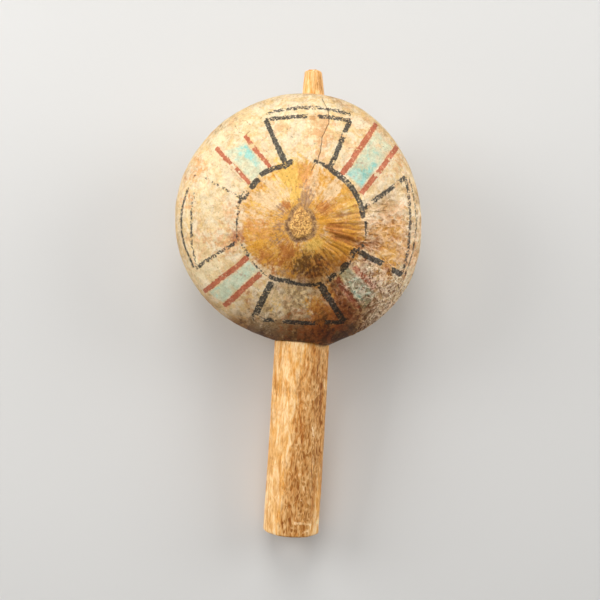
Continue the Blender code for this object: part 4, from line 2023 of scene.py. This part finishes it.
@dataclass(frozen=True)
class Smudge:
    """A soft oval tint on the upper side of the stick, in the rattle's millimetres."""

    across: float
    along: float
    half_width: float
    half_length: float
    strength: float

    def amount(self, across: Array, along: Array) -> Array:
        """How much of the tint each place has."""
        x, y = (across - self.across) / self.half_width, (along - self.along) / self.half_length
        return self.strength * bell(np.hypot(x, y), 1.0)


@dataclass(frozen=True)
class WhittledWood:
    """Finish of the stick: a fibrous light wood, gone brown and polished by hands, with painted
    light and shade on its upper side.
    """

    golden: Colour = (0.88, 0.46, 0.125)
    cream: Colour = (0.91, 0.60, 0.28)
    tan: Colour = (0.60, 0.255, 0.052)
    brown: Colour = (0.31, 0.11, 0.016)
    # Laid where the stick meets the gourd: painted shade with some staining.
    dark: Colour = (0.15, 0.06, 0.02)
    pale: Colour = (0.84, 0.50, 0.20)
    rust: Colour = (0.60, 0.25, 0.055)
    fresh: Colour = (0.92, 0.62, 0.32)

    fleck_squeeze: float = 0.36
    bump_depth: float = 0.35

    def material(self) -> Material:
        """Make the material, which reads the fields that the stick's mesh carries.

        Returns:
            The finished material.
        """
        wood = Surface("whittled_wood")
        fibre, place = wood.place("fibre"), wood.place("place")
        squeeze = {0: place, 1: (1, self.fleck_squeeze, 1)}
        squeezed = wood.node("VectorMath", squeeze, operation="MULTIPLY").outputs[0]
        coarse = wood.mottle(fibre, size=2.4, seed=61, detail=4, warp=0.8)
        fine = wood.mottle(fibre, size=0.9, seed=62, detail=4, warp=0.8)
        cloud = wood.mottle(place, size=11, seed=63, detail=4, warp=0.6)
        flecks = wood.mottle(squeezed, size=2.2, seed=64, detail=4, warp=1.0)
        # The smudges: browning with painted shade, and painted light where they are negative.
        brown = wood.total((wood.field("browning_light_and_shade"), 1.1), (cloud, 1.4), (flecks, 0.7), (1.0, -1.15))
        colour = wood.mix(wood.step(coarse, 0.42, 0.6), self.golden, self.cream)
        colour = wood.mix(wood.step(brown, -0.2, -0.6, 0, 0.6), colour, self.cream)
        colour = wood.mix(wood.step(brown, 0.0, 0.7, 0, 0.85), colour, self.tan)
        colour = wood.mix(wood.step(brown, 0.35, 1.0, 0, 0.7), colour, self.brown)
        dark = wood.product(
            wood.worms(squeezed, size=2.2, seed=66, width=0.5),
            wood.step(brown, -0.15, 0.3, 0.05, 0.6),
        )
        colour = wood.mix(dark, colour, self.brown)
        # Short pale strokes, most in the brown zone: pale fibres, partly a painted sheen.
        pale = wood.product(
            wood.worms(squeezed, size=1.8, seed=67, width=0.4),
            wood.step(brown, -0.15, 0.4, 0.25, 0.6),
        )
        colour = wood.mix(pale, colour, self.pale)
        lines = wood.product(
            wood.worms(fibre, size=1.3, seed=68, width=0.4), wood.step(flecks, 0.4, 0.56), 0.6
        )
        colour = wood.mix(lines, colour, self.rust)
        pores = wood.product(wood.step(fine, 0.55, 0.66), wood.step(brown, -0.3, 0.3, 0.25, 0.7))
        colour = wood.mix(pores, colour, self.brown)
        # Darker where the stick meets the gourd: painted shade with some staining.
        stain_and_shade = wood.total((wood.field("stain_and_shade"), 1.0), (coarse, 1.2), (1.0, -0.6))
        colour = wood.mix(wood.step(stain_and_shade, 0.35, 0.9, 0, 0.6), colour, self.dark)
        fresh = wood.total((wood.field("fresh"), 1.0), (flecks, 4.0), (1.0, -2.2))
        colour = wood.mix(wood.step(fresh, 0.2, 0.9, 0, 0.7), colour, self.fresh)
        light = wood.total((fine, 1.1), (flecks, 1.2), (coarse, 2.0), (1.0, -0.98))
        colour = wood.deepened(colour, wood.total((light, -1.0), (1.0, 2.22)))
        colour = wood.shaded(colour, wood.total((light, 0.5), (1.0, 0.58)))
        height = wood.total((coarse, 0.5), (fine, 0.4), (flecks, 0.6))
        return wood.finish(colour, wood.step(coarse, 0.4, 0.6, 0.45, 0.6), height, self.bump_depth)


@dataclass
class WhittledStick:
    """The stick: handle, shaft through the gourd, and peg, all of one piece.

    A chip is the path of a knife's slip and its width.
    """

    form: StickForm = field(default_factory=StickForm)
    finish: WhittledWood = field(default_factory=WhittledWood)
    columns: int = 180
    spacing: float = 0.65
    hidden_spacing: float = 4.0
    hidden_end: float = 6.0
    fibre_radius: float = 13.0
    fibre_stretch: float = 5.0
    fibre_height: float = 0.16
    fine_fibre_height: float = 0.09
    plain_radius: float = 3.0
    torn_height: float = 0.9
    torn_most: float = 0.2
    sharp_angle: float = 50.0
    # Smudges on the upper side: positive ones are the wood's own brown together with painted shade,
    # and the negative ones, on the left strip and at the right edge, are painted light.
    browning_light_and_shade: tuple[Smudge, ...] = (
        Smudge(7, -78, 6, 14, 0.9), Smudge(3, -96, 6, 12, 0.45), Smudge(4, -116, 7, 14, 0.95),
        Smudge(4, -138, 6.5, 16, 2.0), Smudge(-2, -152, 4, 10, 1.2), Smudge(11, -104, 4, 26, 0.9),
        Smudge(-11, -84, 5, 26, 0.1), Smudge(-6, -107, 3, 12, -0.35),
        Smudge(-11, -140, 4, 24, -0.9), Smudge(12.5, -140, 2.5, 20, -0.5),
        Smudge(2, 69, 3, 8, 0.5),
    )
    # Darker where the stick meets the gourd, below it and at the peg: painted shade with some
    # staining.
    stain_and_shade: tuple[Smudge, ...] = (Smudge(6, -63, 7, 3, 0.6), Smudge(5, 60, 9, 4, 0.5))
    chips: tuple[tuple[tuple[Point, ...], float], ...] = (
        (((1.4, -152.6), (5.0, -152.8), (10.4, -153.8)), 1.2),
        (((5.6, -157.6), (8.4, -156.4)), 0.8),
        (((2.0, -136.0), (4.2, -141.5)), 0.8),
        (((4.6, -134.0), (6.4, -139.0)), 0.7),
        (((8.6, -118.0), (9.4, -124.0)), 0.8),
        (((7.5, -104.0), (8.3, -109.0)), 0.7),
        (((12.6, -77.0), (12.6, -84.5)), 0.8),
    )

    def build(self, resting: Resting) -> Object:
        """Make the stick.

        Args:
            resting: Where the rattle lies.

        Returns:
            The stick's object, dressed and riding on the rattle.
        """
        form = self.form
        hidden = (-form.shoulder, form.peg_root - self.hidden_end)
        rows = spaced(form.profile(), self.spacing, self.hidden_spacing, hidden)
        along, radius, around = turned(rows, self.columns)
        fibre = long_grain(around, self.fibre_radius, along / self.fibre_stretch)
        rough = self.fibre_height * ripple(fibre, 2.4)
        rough += self.fine_fibre_height * ripple(fibre, 0.9, shift=5.0)
        share = np.clip(radius / self.plain_radius, 0, 1)
        wide = form.whittled(along, radius, around) + rough * share
        end_face = along <= -form.handle_end + 0.01
        tip_face = along >= form.peg_tip - form.tip_slope - 0.01
        cut = end_face | tip_face
        torn = self.torn_height * ripple(turned_points(along * 0, radius, around), 1.2, shift=9.0)
        along = along + np.where(tip_face, np.minimum(torn, self.torn_most), 0)
        points = form.bent(turned_points(along, wide, around))
        fibre = np.where(cut[..., None], points * (1, 0, 1), fibre)
        rings = moved(points, resting.to_world)
        rings[..., 2] = np.maximum(rings[..., 2], 0)
        mesh = grid_mesh("stick", rings, rings[0].mean(axis=0), rings[-1].mean(axis=0))
        piece = solid("whittled_stick", mesh)
        mesh.set_sharp_from_angle(angle=math.radians(self.sharp_angle))
        self.dress(mesh, points, fibre, cut)
        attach(piece, "root")
        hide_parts("handle_stick")
        return piece

    def dress(self, mesh: Mesh, points: Array, fibre: Array, cut: Array) -> None:
        """Store on the mesh what its material reads, and give it the material.

        Args:
            mesh: The stick's mesh, made of rings and a point at each end.
            points: The rings, in the rattle's frame.
            fibre: Coordinates in which the wood's fibres are round.
            cut: Which points lie on a sawn or torn end.
        """

        def with_ends(values: Array) -> Array:
            """The values with one more for the point at each end."""
            ends = np.stack([values[0, 0], values[-1, 0]])
            return np.concatenate([values.reshape(-1, *values.shape[2:]), ends])

        across, along, up = points[..., 0], points[..., 1], points[..., 2]
        top = smooth(up, 0, 4)
        below = 0.6 * ripple(points, 16.0, shift=3.0) * (1 - top)
        # Brown with painted shade where positive, painted light where negative, upper side only.
        browning_light_and_shade = top * sum(smudge.amount(across, along) for smudge in self.browning_light_and_shade) + below
        # Darker next to the gourd: painted shade with some staining.
        stain_and_shade = top * sum(smudge.amount(across, along) for smudge in self.stain_and_shade)
        gaps = [Stroke(Paint.SCRATCH, path, width).gap(across, along) for path, width in self.chips]
        fresh = smooth(np.min(gaps, axis=0), 0.4, -0.3) * top
        fresh = np.maximum(fresh, 0.55 * cut)
        write_values(mesh, "place", with_ends(points))
        write_values(mesh, "fibre", with_ends(fibre))
        write_values(mesh, "browning_light_and_shade", with_ends(browning_light_and_shade))
        write_values(mesh, "stain_and_shade", with_ends(stain_and_shade))
        write_values(mesh, "fresh", with_ends(fresh))
        mesh.materials.append(self.finish.material())


# --- Studio ---


@dataclass(frozen=True)
class Lamp:
    """A square soft light that points at the gourd."""

    name: str
    direction: tuple[float, float, float]
    brightness: float
    size: float = 0.5
    distance: float = 0.95

    def build(self, middle: Vector) -> None:
        """Make the lamp.

        Args:
            middle: What it points at. The lamp's energy makes up for its distance, so
                the light there follows its brightness.
        """
        data = bpy.data.lights.new(self.name, "AREA")
        data.energy = self.brightness * (math.pi * self.distance) ** 2
        data.size = self.size
        light = bpy.data.objects.new(self.name, data)
        bpy.context.scene.collection.objects.link(light)
        way = Vector(self.direction).normalized()
        light.location = middle + way * self.distance
        light.rotation_mode = "QUATERNION"
        light.rotation_quaternion = way.to_track_quat("Z", "Y")


@dataclass
class Studio:
    """A pale floor, soft lights and the camera."""

    floor_colour: Colour = (0.66, 0.65, 0.63)
    distance: float = 460.0
    gourd_above: float = 41.2
    gourd_aside: float = 0.26
    roll: float = 3.34
    size_per_distance: float = 0.6718
    sensor_width: float = 36.0
    clip: Pair = (0.01, 20.0)
    floor_half: float = 3.0
    floor_mottle: float = 1.03
    lamp_target: float = -10.0
    sky: float = 0.16
    lamps: tuple[Lamp, ...] = (
        Lamp("peg_side_light", (-0.08, 0.68, 0.72), 0.41),
        Lamp("left_light", (-0.85, 0.20, 0.50), 0.56),
        Lamp("right_light", (0.85, 0.25, 0.50), 0.40),
        Lamp("front_light", (-0.1, 0.05, 1.0), 0.33, 1.2, 1.3),
    )

    def build(self, resting: Resting, form: GourdForm) -> None:
        """Make the floor, the lights and the camera.

        Args:
            resting: Where the rattle lies.
            form: The gourd's form, which the lamps and the camera point at.
        """
        self.make_floor()
        self.make_camera(resting, form)
        middle = resting.to_world @ Vector((form.side_shift, self.lamp_target, 0))
        for lamp in self.lamps:
            lamp.build(middle)
        world = bpy.data.worlds.new("studio")
        world.use_nodes = True
        world.node_tree.nodes["Background"].inputs["Color"].default_value = (1, 1, 1, 1)
        world.node_tree.nodes["Background"].inputs["Strength"].default_value = self.sky
        bpy.context.scene.world = world
        bpy.context.scene.view_settings.view_transform = "Standard"

    def make_floor(self) -> None:
        """A pale floor, with a slight unevenness of tone."""
        half = self.floor_half
        mesh = bpy.data.meshes.new("floor")
        corners = [(-half, -half, 0), (half, -half, 0), (half, half, 0), (-half, half, 0)]
        mesh.from_pydata(corners, [], [(0, 1, 2, 3)])
        floor = bpy.data.objects.new("floor", mesh)
        bpy.context.scene.collection.objects.link(floor)
        finish = Surface("pale_floor")
        where = finish.node("TexCoord", {}).outputs["Object"]
        cloud = finish.mottle(where, size=0.4, seed=71, detail=2)
        lighter = tuple(part * self.floor_mottle for part in self.floor_colour)
        colour = finish.mix(finish.step(cloud, 0.3, 0.7), self.floor_colour, lighter)
        mesh.materials.append(finish.finish(colour, 0.8, cloud, 0.05))

    def make_camera(self, resting: Resting, form: GourdForm) -> None:
        """Look square at the stick's middle plane, with the peg leaning to the right.

        Args:
            resting: Where the rattle lies.
            form: The gourd's form, from whose middle the camera's place is measured.
        """
        roll = math.radians(self.roll)
        up = Vector((-math.sin(roll), math.cos(roll), 0))
        right = Vector((math.cos(roll), math.sin(roll), 0))
        foot = Vector((form.side_shift, 0, 0)) - up * self.gourd_above
        foot += right * self.gourd_aside
        back = Vector((0, 0, 1))
        turn = Matrix((right, up, back)).transposed().to_4x4()
        place = Matrix.Translation(foot + back * self.distance) @ turn
        world = resting.to_world @ place
        data = bpy.data.cameras.new("camera")
        data.sensor_width = self.sensor_width
        data.lens = data.sensor_width / self.size_per_distance
        data.clip_start, data.clip_end = self.clip
        camera = bpy.data.objects.new("camera", data)
        bpy.context.scene.collection.objects.link(camera)
        camera.rotation_mode = "QUATERNION"
        camera.location = world.translation
        camera.rotation_quaternion = world.to_quaternion()
        bpy.context.scene.camera = camera


def main() -> None:
    """Build the gourd, the stick and the studio, and report each piece."""
    logging.basicConfig(level=logging.INFO, format="%(message)s")
    stick = WhittledStick()
    gourd = PaintedGourd()
    resting = Resting.of(frame["record"], stick.form)
    for piece in (gourd.build(resting, stick.form), stick.build(resting)):
        LOG.info("%s: %d faces", piece.name, len(piece.data.polygons))
    Studio().build(resting, gourd.form)


if __name__ == "__main__":
    main()
